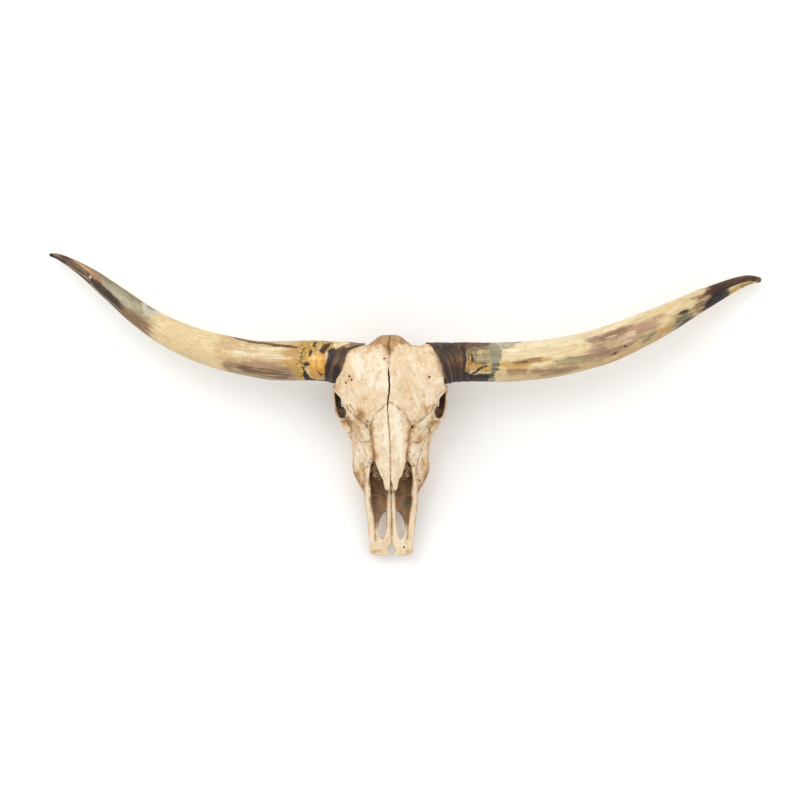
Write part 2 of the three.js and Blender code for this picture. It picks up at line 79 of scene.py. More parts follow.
def squared(value, power):
    # Signed power that makes a circle's sine or cosine into a squarer oval's.
    return np.sign(value) * np.abs(value) ** (2 / power)


def smoothStep(low, high, value):
    # Goes from 0 at low to 1 at high, along t * t * (3 - 2 * t).
    t = np.clip((value - low) / (high - low), 0, 1)
    return t * t * (3 - 2 * t)


def noise(points, scale, seed):
    # Random numbers from -1 to 1 on a lattice of the given cell size, blended smoothly.
    spot = np.asarray(points, float) / scale + seed * 7.31
    cell = np.floor(spot).astype(np.int64)
    part = spot - cell
    part = part * part * (3 - 2 * part)
    total = np.zeros(len(spot))
    for corner in range(8):
        step = np.array([corner & 1, corner >> 1 & 1, corner >> 2 & 1])
        x, y, z = (cell + step).T
        mixed = (x * 73856093) ^ (y * 19349663) ^ (z * 83492791) ^ (seed * 2654435)
        mixed = ((mixed ^ (mixed >> 13)) * 1274126177) & 0xffffff
        mixed = ((mixed ^ (mixed >> 11)) * 69069) & 0xffff
        share = np.prod(np.where(step == 1, part, 1 - part), axis=1)
        total += share * (mixed / 32767.5 - 1)
    return total


def noises(points, *parts):
    # Sum of noises, each with its height, cell size and seed.
    return sum(height * noise(points, size, seed) for height, size, seed in parts)


def unit(vectors):
    # Each vector over its length.
    return vectors / np.linalg.norm(vectors, axis=1)[:, None]


def turns(count):
    # Angles of this many even steps round one full turn.
    return np.linspace(0, 2 * math.pi, count, endpoint=False)


def onLine(values):
    # Points for a noise that changes only with these values.
    return np.stack([values, 0 * values, 0 * values], 1)


def lineDistance(points, line):
    # Shortest distance from each flat point to a chain of straight pieces.
    best = np.full(len(points), 1e9)
    for a, b in zip(line[:-1], line[1:]):
        along = b - a
        t = np.clip((points - a) @ along / max(along @ along, 1e-9), 0, 1)
        off = points - a - t[:, None] * along
        best = np.minimum(best, np.einsum("ij,ij->i", off, off))
    return np.sqrt(best)


def insideBy(points, outline):
    # How deep each flat point lies inside a closed outline, below 0 outside it.
    outline = np.asarray(outline, float)
    ends = np.roll(outline, -1, 0)
    x, y = np.asarray(points, float).T
    crossed = np.zeros(len(x), bool)
    for (ax, ay), (bx, by) in zip(outline, ends):
        if ay != by:
            spans = (ay > y) != (by > y)
            crossed ^= spans & (x < (bx - ax) * (y - ay) / (by - ay) + ax)
    gap = lineDistance(np.stack([x, y], 1), np.concatenate([outline, outline[:1]]))
    return np.where(crossed, gap, -gap)


def paint(red, green, blue):
    # A colour from the paint chart's 0 to 255 numbers, made linear.
    return (*[((value / 255 + 0.055) / 1.055) ** 2.4 for value in (red, green, blue)], 1.0)


def loft(rings, closed=False):
    # Quads between neighbouring rings, with flat caps, turned so that the volume is positive.
    count, around = rings.shape[:2]
    index = np.arange(count * around).reshape(count, around)
    first = index if closed else index[:-1]
    second = np.roll(index, -1, 0) if closed else index[1:]
    quads = np.stack([first, np.roll(first, -1, 1), np.roll(second, -1, 1), second], -1).reshape(-1, 4)
    verts = rings.reshape(-1, 3)
    a, b, c, d = (verts[quads[:, k]] - verts.mean(0) for k in range(4))
    volume = np.einsum("ij,ij->i", a, np.cross(b, c)).sum() + np.einsum("ij,ij->i", a, np.cross(c, d)).sum()
    faces = quads.tolist()
    if not closed:
        faces += [index[0, ::-1].tolist(), index[-1].tolist()]
    if volume < 0:
        faces = [face[::-1] for face in faces]
    return verts, faces


def mirrored(solid):
    # x changes its sign, and each face its turn.
    verts, faces = solid
    return verts * (-1, 1, 1), [face[::-1] for face in faces]


def both(solid):
    # A solid of the left side with its mirror image.
    return [solid, mirrored(solid)]


def bar(points, sizes, up=(0, 0, 1), steps=28, sides=24, power=2.3, closed=False):
    # Oval ring carried along a smooth path: width across the path and up, depth along up.
    points, sizes = np.asarray(points, float), np.asarray(sizes, float)
    count = len(points)
    if closed:
        reach = np.arange(-3, count + 4)
        spots = np.linspace(0, count, steps, endpoint=False)
        path = smoothTable(reach, points[reach % count], spots)
        span = smoothTable(reach, sizes[reach % count], spots)
        forward = np.roll(path, -1, 0) - np.roll(path, 1, 0)
    else:
        spots = np.linspace(0, count - 1, steps)
        path = smoothTable(np.arange(count), points, spots)
        span = smoothTable(np.arange(count), sizes, spots)
        forward = np.gradient(path, axis=0)
    forward = unit(forward)
    across = unit(np.cross(forward, np.asarray(up, float)))
    upward = np.cross(across, forward)
    angle = turns(sides)
    wide = squared(np.cos(angle), power)[None, :, None] * span[:, None, :1] / 2
    deep = squared(np.sin(angle), power)[None, :, None] * span[:, None, 1:] / 2
    return loft(path[:, None] + across[:, None] * wide + upward[:, None] * deep, closed)


def ellipsoid(centre, radii, sides=36):
    # Half circles swept round the z axis, drawn out along each axis.
    tilt = np.linspace(-math.pi / 2 + 0.04, math.pi / 2 - 0.04, sides // 2)
    turn = turns(sides)
    ball = np.stack(np.broadcast_arrays(np.cos(tilt)[:, None] * np.cos(turn),
                                        np.cos(tilt)[:, None] * np.sin(turn),
                                        np.sin(tilt)[:, None]), -1)
    return loft(ball * radii + centre)


def prism(outline, low, high, axis):
    # Flat outline pulled along x or z. For x the outline's numbers are y and z.
    outline = np.asarray(outline, float)
    ends = [np.full((len(outline), 1), end) for end in (low, high)]
    if axis == "x":
        return loft(np.stack([np.hstack([end, outline]) for end in ends]))
    return loft(np.stack([np.hstack([outline, end]) for end in ends]))


def makeObject(name, verts, faces):
    # An object at the origin, from points in skull millimetres.
    mesh = bpy.data.meshes.new(name)
    mesh.from_pydata(toRow(verts).tolist(), [], faces)
    mesh.update()
    thing = bpy.data.objects.new(name, mesh)
    bpy.context.scene.collection.objects.link(thing)
    return thing


def applyModifier(thing, kind, **settings):
    # Adds one modifier and keeps the mesh it makes.
    modifier = thing.modifiers.new("step", kind)
    for key, value in settings.items():
        setattr(modifier, key, value)
    with bpy.context.temp_override(object=thing, active_object=thing):
        bpy.ops.object.modifier_apply(modifier=modifier.name)


def combine(thing, solids, operation):
    # Joins the solids to the thing or cuts them away, one after another.
    for solid in solids:
        tool = makeObject("tool", *solid)
        applyModifier(thing, "BOOLEAN", object=tool, operation=operation, solver="MANIFOLD")
        bpy.data.meshes.remove(tool.data)
    return thing


def readVerts(mesh):
    # Points of a mesh in skull millimetres.
    flat = np.empty(len(mesh.vertices) * 3)
    mesh.vertices.foreach_get("co", flat)
    return toSkull(flat.reshape(-1, 3))


def writeVerts(mesh, verts):
    # Puts points in skull millimetres back into a mesh.
    mesh.vertices.foreach_set("co", toRow(verts).astype(np.float32).ravel())
    mesh.update()


palate = {"under": 35, "gum": 24}
# The face leans left from the brows to the muzzle's tip, which is drawn forward, and wider on its right.
lean = {"muzzle": 4, "from": 380, "forward": 4.4, "forwardFrom": 170, "corner": 3}


def leanOver(verts):
    # Sideways by the share of the way to the muzzle, wider at its right corner, and forward at its tip.
    x, y, z = verts.T
    side = lean["muzzle"] * np.maximum(0, 1 - y / lean["from"])
    side = side - lean["corner"] * smoothStep(90, 15, y) * smoothStep(-14, -44, x)
    return np.stack([x + side, y - lean["forward"] * smoothStep(lean["forwardFrom"], 0, y), z], 1)


# Plate of the forehead: half width, height at the middle, at the edge and below, and squareness.
foreheadRows = {
    258: [34, 156, 138, 116, 2.0], 274: [58, 166, 142, 120, 2.1], 288: [79, 173, 146, 124, 2.3],
    304: [95, 181, 156, 134, 2.6], 322: [98, 188, 166, 140, 2.8], 340: [98, 193, 173, 148, 2.9],
    353: [103.5, 197, 175, 150, 2.9], 366: [122, 200, 174, 150, 2.9], 380: [119, 203, 175, 146, 2.9],
    400: [118, 207, 174, 140, 2.9], 425: [113, 211, 172, 136, 2.8], 446: [100, 210, 170, 136, 2.6],
    456: [84, 204, 168, 142, 2.5], 462: [58, 194, 168, 150, 2.4],
}
# Face sections: height of the ridge, then [distance out, height] of brow, wall, crest and gum.
faceRows = {
    128: [112, 22, 102, 51, 74, 56, 54, 47, 31],
    141: [119, 25, 108, 52, 80, 63, 54, 51, 29],
    162: [129, 29, 117, 54, 91, 76, 55, 58, 24],
    187: [138, 33, 127, 56, 103, 85, 60, 66, 24],
    215: [148, 38, 137, 58, 116, 84, 70, 70, 24],
    250: [162, 42, 150, 63, 128, 87, 82, 72, 24],
    280: [173, 47, 163, 74, 138, 97, 98, 71, 28],
    302: [180, 52, 172, 76, 150, 92, 100, 66, 32],
    318: [184, 50, 174, 62, 150, 64, 96, 48, 54],
}
noseRows = {  # half width, floor and roof of the nose's hollow
    84: [40, 43, 104], 128: [44, 43, 106], 162: [46, 43, 121], 187: [47, 43, 130],
    215: [46, 45, 139], 250: [38, 51, 151], 290: [24, 67, 156],
}
pollRows = {  # half width, middle and half height of the poll's hump
    436: [62, 174, 34], 447: [58, 174, 37], 455: [54, 174, 38], 463: [47, 174, 36],
    471: [36, 173, 30], 479: [27, 172, 22], 484: [17, 171, 11],
}
napeRows = {  # half width, middle and thickness of the back wall
    54: [44, 438, 22], 74: [80, 436, 26], 100: [98, 436, 30], 130: [98, 438, 34],
    160: [86, 442, 34], 188: [76, 446, 30],
}
plateRows = {  # inner and outer edge, under and upper face of the muzzle's flat front
    -0.5: [6, 33, 30, 36], 2.5: [4.2, 42, 28, 39], 6: [5.4, 46, 27, 40], 12: [8, 47, 26, 41],
    20: [5, 47, 26, 42], 26: [2.2, 47, 27, 41.5], 31: [-1, 47.3, 28, 41], 38: [-1, 47.5, 30, 40],
    62: [-1, 50, 32, 40],
    92: [-1, 53, 33, 41], 125: [-1, 55, 34, 43], 140: [-1, 56, 35, 44],
}


def rowsAt(rows, count):
    # A dictionary of stations as a smooth table, read at evenly spaced places.
    keys = np.array(sorted(rows))
    at = np.linspace(keys[0], keys[-1], count)
    return at, smoothTable(keys, [rows[key] for key in keys], at)


def columnsAt(rows, count):
    # Columns of a table of rows at evenly spaced places, and those places.
    at, values = rowsAt(rows, count)
    return at, values.T


def ovalLoft(place, middleX, halfX, middleZ, halfZ, power, axis="y", sides=48):
    # Squarish ovals stacked along y, or lying flat and stacked along z.
    angle = turns(sides)
    across = np.atleast_1d(middleX)[:, None] + np.asarray(halfX)[:, None] * squared(np.cos(angle), power)
    other = np.asarray(middleZ)[:, None] + np.asarray(halfZ)[:, None] * squared(np.sin(angle), power)
    level = np.broadcast_to(np.asarray(place)[:, None], across.shape)
    return loft(np.stack([across, level, other] if axis == "y" else [across, other, level], -1))


def foreheadPlate():
    # Squarish ovals stacked along y, whose upper and lower halves have their own heights.
    at, rows = rowsAt(foreheadRows, 70)
    half, top, edge, bottom, power = rows.T[:, :, None]
    angle = turns(72)
    rise = np.where(np.sin(angle) > 0, top - edge, edge - bottom)
    return loft(np.stack(np.broadcast_arrays(half * squared(np.cos(angle), power), at[:, None],
                                             edge + rise * squared(np.sin(angle), power)), -1))


def facePrism():
    # Smooth closed curves through each section's points and their mirror images, stacked along y.
    at, rows = rowsAt(faceRows, 50)
    rings = []
    for y, (ridge, bx, bz, wx, wz, cx, cz, gx, gz) in zip(at, rows):
        half = [[bx, bz], [wx, wz], [cx, cz], [gx, gz], [gx * 0.72, palate["under"]]]
        outline = [[0, ridge], *half, [0, palate["under"]], *[[-x, z] for x, z in half[::-1]]]
        flat = closedCurve(outline, 72)
        rings.append(np.stack([flat[:, 0], np.full(72, y), flat[:, 1]], 1))
    return loft(np.array(rings))


# Bars of the left side or the middle: points of the middle line, width and depth at each, and settings.
bars = {
    "skullBase": [[[0, 446, 62], [0, 410, 62], [0, 370, 70], [0, 330, 80], [0, 306, 84]],
                  [[50, 26], [44, 24], [36, 24], [34, 30], [40, 34]], {}],
    "condyle": [[[13, 448, 40], [27, 452, 52], [34, 450, 70], [30, 444, 84]],
                [[18, 20], [27, 30], [27, 30], [14, 18]], {"up": (0, 1, 0)}],
    "prong": [[[80, 434, 96], [78, 431, 60], [73, 425, 28], [68, 419, 0]],
              [[24, 38], [18, 34], [13, 25], [10, 15]], {"up": (0, 1, 0)}],
    "pterygoid": [[[30, 300, 52], [27, 322, 56], [24, 346, 64]], [[8, 52], [7, 58], [6, 40]], {}],
    "hook": [[[26, 332, 44], [29, 337, 31], [32, 333, 23]], [[12, 8], [8, 6], [5, 4]], {"up": (0, 1, 0)}],
    "vomer": [[[0, 150, 52], [0, 200, 58], [0, 250, 68], [0, 300, 84]],
              [[6, 22], [7, 34], [8, 46], [10, 52]], {}],
    "cheekArch": [[[88, 276, 106], [104, 298, 110], [114, 326, 106], [115, 356, 104], [110, 382, 106],
                   [94, 404, 108], [66, 410, 108]],
                  [[22, 42], [16, 30], [14, 20], [12, 19], [11, 17], [20, 18], [30, 30]], {"steps": 60}],
    "socketRim": [[[119.5, 366, 169], [123, 365, 145], [123.4, 354, 122], [121.5, 332, 114],
                   [118.5, 312, 115], [109, 300, 132], [97, 303, 154], [95, 322, 168], [101, 346, 174]],
                  [[11, 13], [11, 8], [14, 6], [16, 5.5], [13, 6], [9, 9], [10, 13], [10, 14], [10, 14]],
                  {"up": (1, 0, 0), "steps": 90, "closed": True}],
    "browPost": [[[108, 373, 172], [118, 371, 150], [118.5, 364, 124], [116, 354, 108]],
                 [[24, 22], [14, 13], [13, 11], [15, 12]], {"up": (1, 0, 0)}],
    "socketBack": [[[100, 340, 136], [92, 356, 118], [88, 372, 100]], [[34, 30], [34, 40], [30, 44]], {}],
    "muzzleArm": [[[41, 212, 122], [47, 194, 104], [51, 170, 88], [53, 142, 70], [51.5, 112, 56],
                   [47, 84, 47], [44, 56, 42], [42, 32, 38], [38, 16, 35]],
                  [[3, 8], [7, 24], [9, 34], [12, 36], [15, 30], [16, 22], [15, 17], [13, 13], [10, 10]],
                  {"steps": 60}],
    "midRod": [[[5.2, 156, 50], [5.6, 120, 47], [6.4, 84, 43], [8.4, 52, 40], [13, 30, 38]],
               [[7.5, 12], [8.6, 14], [9.6, 12], [10.5, 9.5], [12, 8]], {"steps": 50}],
    "spinal": [[[0, 500, 74], [0, 456, 75], [0, 424, 82]], [[34, 36], [34, 32], [20, 18]], {}],
}
balls = {  # middle and radii
    "braincase": [[0, 384, 130], [66, 66, 62]], "napeCorner": [[80, 438, 164], [27, 27.5, 34]],
    "bulla": [[45, 400, 56], [15, 20, 18]], "templeHollow": [[118, 398, 128], [52, 34, 26]],
    "jawJoint": [[82, 394, 98], [26, 16, 10]], "socketFloor": [[86, 310, 116], [25, 26, 18]],
    "socketHollow": [[112, 334, 139], [52, 31, 29], 48],
}


def form(name):
    # The ball or bar of this name.
    if name in balls:
        return ellipsoid(*balls[name])
    points, sizes, settings = bars[name]
    return bar(points, sizes, **settings)


def pairs(*names):
    # Each named form with its mirror image.
    return [solid for name in names for solid in both(form(name))]


def braincase():
    # Ball of the brain's case, ovals along y for the poll, ovals up z for the back wall, and the base.
    at, (half, middle, tall) = columnsAt(pollRows, 30)
    poll = ovalLoft(at, 0, half, middle, tall, 2.2)
    at, (half, middle, thick) = columnsAt(napeRows, 30)
    nape = ovalLoft(at, 0, half, middle, thick / 2, 2.8, axis="z")
    return [form("braincase"), poll, nape, form("skullBase"), form("napeCorner")]


def muzzlePlate():
    # Flat ovals stacked along y between an inner and an outer edge.
    at, (inner, outer, under, over) = columnsAt(plateRows, 100)
    return ovalLoft(at, (inner + outer) / 2, (outer - inner) / 2, (under + over) / 2, (over - under) / 2, 3.2)


# Hole through the muzzle's plate, left side, once round from its back end.
fissureLine = [[11, 97], [19, 90], [26, 77], [29, 62], [28, 48], [23, 37.5], [19, 34], [15.5, 42], [12.5, 56],
               [11, 74], [10, 88]]


def noseHollow():
    # Squarish ovals along y between the nose's floor and its roof.
    at, (half, floor, roof) = columnsAt(noseRows, 40)
    return ovalLoft(at, 0, half, (floor + roof) / 2, (roof - floor) / 2, 2.8)


# Opening beside the nasal bones on the left side, from its notch to the muzzle.
aperture = [[36.5, 208], [32, 197], [27, 184], [24, 174], [21.5, 171], [18.2, 166], [16.4, 155], [14, 145.5],
            [9.6, 141.5], [5.4, 145], [3.2, 152], [1.6, 161], [-0.5, 168], [-1, 100], [44, 100], [48, 128],
            [52, 150], [52, 168], [48.5, 185], [43, 199]]
nasalTip = [[24, 174], [21.5, 171], [18.2, 166], [16.6, 156], [14.4, 146.5], [9.8, 141.8], [5.6, 145],
            [3.4, 152], [1.8, 161], [-0.5, 168], [-1, 122], [30, 122], [33, 174]]
teeth = {  # place, length and width of the upper cheek teeth of one side, from the front
    "y": [170, 188, 206, 228, 254, 282], "x": [52, 55, 58, 60, 61, 61],
    "length": [17, 18, 18, 25, 27, 29], "width": [17, 19, 21, 23, 24, 22], "root": 34,
}


def tooth(number):
    # Squarish column with upright ribs on its outer face, as wide as the tooth at each angle.
    angle = turns(40)
    y, x, length, width = (teeth[key][number] for key in ("y", "x", "length", "width"))
    lobes = 2 if length > 20 else 1
    ribs = 1 + 0.06 * np.cos(angle * 2 * (lobes + 1)) * (0.6 + 0.4 * np.cos(angle))
    rings = []
    for z, grow in ((0, 0.93), (1.2, 0.97), (12, 1.0), (22, 0.96), (teeth["root"], 0.88)):
        across = x + width / 2 * grow * ribs * squared(np.cos(angle), 3)
        onward = y + length / 2 * grow * ribs * squared(np.sin(angle), 3.4)
        rings.append(np.stack([across, onward, np.full(40, z)], 1))
    return loft(np.array(rings))


horns = {
    "right": {
        "at": [[-101, 420, 156], [-150, 428, 155], [-225, 428, 151], [-302, 433, 143], [-408, 457, 125],
               [-516, 505, 100], [-624, 586, 70], [-680, 628, 52], [-732, 658, 38], [-760, 666, 32]],
        "thick": [90, 88, 87, 81, 74, 60, 42, 28, 15.5, 6.5],
    },
    "left": {
        "at": [[103, 420, 156], [150, 425, 155], [225, 425, 151], [302, 428, 144], [382, 438, 134],
               [488, 467, 114], [594, 513, 88], [706, 570, 58], [786, 606, 38], [828, 610, 30]],
        "thick": [90, 87, 86, 87, 84, 80, 67, 44, 25, 11],
    },
    "wall": 5, "coreGap": 2, "mouthDepth": 64, "flatness": 0.94,
    "facing": [0.904, 0.357, -0.235],
}


def hornCore(name):
    # Bony stub along the start of the horn, a little thinner than the sheath's hollow.
    one = horns[name]
    mouth, onward = np.array(one["at"][0], float), np.array(one["at"][1], float)
    outward = (onward - mouth) / np.linalg.norm(onward - mouth)
    wide = one["thick"][0] - 2 * (horns["wall"] + horns["coreGap"])
    reach = horns["mouthDepth"] - 6
    return bar([mouth - 34 * outward, mouth, mouth + reach * outward],
               [[wide - 4, wide - 4], [wide, wide * horns["flatness"]], [wide - 16, wide - 20]], power=2)


def hornRings(name, along, sides, grow):
    # Ovals round the horn's smooth middle line. The first ones lean to the mouth's plane.
    one = horns[name]
    count = len(one["at"])
    spots = along * (count - 1)
    middle = smoothTable(np.arange(count), one["at"], spots)
    radius = smoothTable(np.arange(count), one["thick"], spots)[:, 0] / 2 + grow
    radius *= np.sqrt(np.maximum(0.02, 1 - smoothStep(0.985, 1.0, along) ** 2))  # round end
    forward = unit(np.gradient(middle, axis=0))
    facing = np.array(horns["facing"]) * ((1 if name == "left" else -1), 1, 1)
    bend = 1 - smoothStep(0, 0.14, along)[:, None]
    plane = unit(forward * (1 - bend) + facing * bend)
    across = unit(np.cross((0, 0, 1), forward))
    upward = np.cross(forward, across)
    angle = turns(sides)
    off = radius[:, None, None] * (across[:, None] * np.cos(angle)[:, None]
                                   + upward[:, None] * horns["flatness"] * np.sin(angle)[:, None])
    slide = -np.einsum("ijk,ik->ij", off, plane) / np.einsum("ik,ik->i", forward, plane)[:, None]
    return middle[:, None] + off + forward[:, None] * slide[..., None], forward


def buildSkull():
    # The forms are joined and cut in this order, so that a later one lies over those before it.
    skull = makeObject("skull", *foreheadPlate())
    for operation, solids in (
            ("UNION", [*braincase(), *pairs("condyle", "prong", "bulla")]),
            ("DIFFERENCE", pairs("templeHollow")),
            ("UNION", [facePrism(), *pairs("pterygoid", "hook")]),
            ("DIFFERENCE", [noseHollow()]),
            ("UNION", [form("vomer")]),
            ("DIFFERENCE", both(prism(closedCurve(aperture, 90), 90, 300, "z"))),
            ("DIFFERENCE", pairs("socketHollow", "socketBack")),
            ("UNION", [*pairs("cheekArch", "jawJoint", "socketFloor", "socketRim", "browPost"),
                       *both(muzzlePlate()), *pairs("muzzleArm", "midRod")]),
            ("DIFFERENCE", both(prism(closedCurve(fissureLine, 60), 0, 70, "z"))),
            ("UNION", [solid for number in range(len(teeth["y"])) for solid in both(tooth(number))]),
            ("DIFFERENCE", [form("spinal")])):
        combine(skull, solids, operation)
    for name in ("left", "right"):
        rings, _ = hornRings(name, np.linspace(0, 1, 40), 40, 0.6)
        combine(skull, [loft(rings)], "DIFFERENCE")
        combine(skull, [hornCore(name)], "UNION")
    underFloor = prism([[-200, -300], [800, -300], [800, 0], [-200, 0]], -400, 400, "x")
    return combine(skull, [underFloor], "DIFFERENCE")


sculpt = {
    "voxel": 2.1, "rounds": 16,
    # Broad forms on the upper side: where they run (x, y), half width and height, all in mm.
    "ridges": [
        [[[110, 296], [102, 270], [93, 238], [86, 206], [78, 176]], 6, 3.2],  # crest of the cheek
        [[[98, 332], [86, 308], [72, 284], [60, 256], [52, 228]], 5, 2.2],  # rim beside the tear bone
        [[[104, 356], [97, 340], [94, 318], [100, 302]], 5, 2.0],  # edge of the brow
        [[[116, 384], [104, 396], [98, 416], [92, 440]], 8, 1.5],  # line behind the brow
        [[[46, 222], [54, 200], [57, 170]], 4, 1.8],  # edge beside the nose
        [[[14, 452], [22, 466], [14, 480]], 9, 1.2],
        [[[96, 292], [84, 268], [76, 236]], 4, 1.6],
    ],
    "hollows": [
        [[[99, 318], [91, 290], [80, 262], [73, 232], [70, 200]], 6, 3.0],  # trough inside the crest
        [[[52, 292], [48, 268], [44, 240], [38, 218]], 4.5, 2.8],  # beside the nasal bones
        [[[88, 330], [76, 308], [66, 296], [54, 282]], 3.4, 1.9],  # over the tear bone's suture
        [[[84, 392], [78, 372], [74, 350], [66, 326]], 8, 1.7],  # furrow over the eye
        [[[66, 452], [56, 444], [30, 438], [0, 432]], 16, 3.0],  # dip before the poll
        [[[0, 330], [0, 344]], 15, 1.6],
        [[[62, 208], [64, 186], [62, 162]], 4.5, 1.8],
        [[[66, 150], [60, 128], [56, 100]], 4, 1.0],
        [[[36, 26], [28, 18], [20, 24]], 4, 1.4], [[[44, 40], [40, 26], [38, 14]], 3, 1.0],
    ],
    # Furrow over the long suture: from and to along y, half width, depth and darkness.
    "furrows": [[158, 338, 1.8, 1.3, 0.30], [334, 408, 2.2, 0.8, 0.5], [440, 486, 2.6, 2.4, 0.5]],
    "grain": {"width": 5.5, "length": 34, "height": 1.25},  # long furrows of the face
    "swellings": [(1.3, 46, 63), (0.8, 19, 64), (0.35, 9, 65)],  # height, size and seed
    "pits": [[-88.7, 393.6, 2.4], [-96, 379, 2.2], [-84, 386, 1.6], [86.9, 391.4, 2.2], [-11.9, 432.5, 2.2],
             [47.9, 282.6, 3.2], [58.5, 247, 2.0], [27, 18, 2.4], [-66, 150, 2.6], [64, 163, 2.8]],
}


def furrowOf(verts):
    # Depth and darkness of the groove along the long suture.
    middle = smoothTable(midline["y"], midline["x"], verts[:, 1])[:, 0]
    place = onLine(verts[:, 1])
    off = verts[:, 0] - middle - 0.9 * noise(place, 9, 5) - 0.5 * noise(place, 4, 6)
    depth, darkness = np.zeros(len(verts)), np.zeros(len(verts))
    for front, rear, width, deep, dark in sculpt["furrows"]:
        along = smoothStep(front - 5, front + 5, verts[:, 1]) * smoothStep(rear + 5, rear - 5, verts[:, 1])
        across = np.exp(-(off / width) ** 2) * along
        depth = np.maximum(depth, deep * across)
        darkness = np.maximum(darkness, dark * np.exp(-(off / (0.8 * width)) ** 2) * along)
    return depth, darkness * (1 + 0.4 * noise(verts, 6, 67))


def sculptSkull(skull):
    # Blends the joined forms into each other, then raises and sinks the broad forms of the face.
    applyModifier(skull, "REMESH", mode="VOXEL", voxel_size=sculpt["voxel"] / 1000)
    verts, quads = readQuads(skull)
    edges = edgesOf(quads)
    x, y, z = verts.T
    out = np.abs(x)
    fine = np.max([
        smoothStep(222, 188, y) * 0.75, toothiness(verts), smoothStep(70, 52, z) * 0.6,
        smoothStep(0.8, 1.3, np.exp(-((out - 112) / 14) ** 2) + np.exp(-((y - 334) / 38) ** 2)) * 0.8,
        smoothStep(16, 10, out) * smoothStep(120, 100, z) * 0.6,
        smoothStep(2, 0, z)], 0)
    verts = relax(verts, edges, sculpt["rounds"], 1 - 0.85 * fine)
    normal = normalsOf(verts, quads)
    plan = np.stack([np.abs(verts[:, 0]), verts[:, 1]], 1)
    upper = smoothStep(0.05, 0.5, normal[:, 2]) * smoothStep(70, 100, verts[:, 2])
    rise = np.zeros(len(verts))
    for lines, sign in ((sculpt["ridges"], 1), (sculpt["hollows"], -1)):
        for line, width, height in lines:
            off = lineDistance(plan, np.asarray(line, float))
            rise += sign * height * np.exp(-(off / width) ** 2)
    nasal = insideBy(plan, nasalFace)
    rise += 3.2 * smoothStep(0, 13, nasal) - 0.9 * np.exp(-(nasal / 2.2) ** 2)
    rise -= furrowOf(verts)[0]
    furrow = sculpt["grain"]
    lengthwise = (verts + (0.25 * verts[:, 1:2]) * (np.sign(verts[:, :1]) * (-1, 0, 0))) * (
        1, furrow["width"] / furrow["length"], 1)
    face = smoothStep(345, 300, verts[:, 1]) * smoothStep(60, 80, verts[:, 1])
    rise += furrow["height"] * face * noises(
        lengthwise, (1, furrow["width"], 61), (0.6, furrow["width"] / 2, 62)) * (
        1 - 0.75 * smoothStep(-2, 6, nasal))
    rise += noises(verts, *sculpt["swellings"])
    verts = verts + normal * (rise * upper)[:, None]
    verts[:, 2] = np.maximum(verts[:, 2], 0)
    writeVerts(skull.data, verts)
    return skull


# Bone outlines of the left side: from above (x, y) and from the side (y, z). An edge that a bone
# shares with one cut before it lies under that one, which then gives the suture its line.
bonePlans = {
    "nasal": [[-14, 110], [12, 110], [15, 140], [20, 164], [24, 172], [28, 184], [33, 198], [37, 210],
              [42, 250], [46, 284], [34, 309], [15, 327], [0, 336], [-14, 337]],
    "frontal": [[-14, 310], [20, 290], [40, 279], [46, 284], [70, 299], [98, 330], [160, 344], [260, 420],
                [260, 520], [-14, 520]],
    "lacrimal": [[44, 288], [60, 312], [96, 342], [112, 318], [104, 286], [84, 262], [60, 248], [43, 252]],
}
boneSides = {
    "nasal": [[100, 96], [130, 104], [217, 134], [300, 158], [345, 172], [345, 260], [100, 260]],
    "frontal": [[270, 132], [318, 146], [372, 150], [450, 158], [500, 168], [500, 260], [270, 260]],
    "lacrimal": [[230, 118], [282, 112], [345, 128], [345, 260], [230, 260]],
    "zygomatic": [[262, 66], [394, 84], [394, 122], [372, 148], [322, 146], [276, 132], [258, 96]],
    "incisive": [[216, 136], [190, 106], [165, 84], [144, 66], [122, 20], [-20, -20], [-20, 140], [216, 150]],
    "core": [[376, 100], [480, 100], [480, 200], [376, 200]],
    "cranium": [[312, -20], [520, -20], [520, 260], [312, 260]],
}
cuts = {"seam": -0.9, "wave": 1.6, "waveLength": 7, "step": 2.2, "cheekFrom": 86, "coreFrom": 99, "far": 300}
# Middle of the skull's long suture, and how far it gapes, from the muzzle to the poll.
midline = {
    "y": [-30, 120, 146, 203, 254, 291, 317, 335, 375, 405, 415, 422, 444, 465, 484, 520],
    "x": [0, 0, -0.6, -1.0, -1.4, -3.4, -6.0, -4.6, -1.3, -3.0, -3.5, -3.0, -0.8, -3.0, 2.0, 2.0],
    "gap": [0.4, 0.4, 1.0, -0.6, -0.8, -0.8, 0.3, 2.2, 2.6, 1.8, -1.0, -3.0, -3.0, -0.6, -0.6, -0.6],
}
# Upper face of the left nasal bone.
nasalFace = [[-30, 138], [10, 138], [15, 142], [18, 162], [21, 169], [25, 173], [30, 188], [36, 206],
             [42, 250], [46, 284], [34, 309], [15, 327], [0, 336], [-30, 337]]


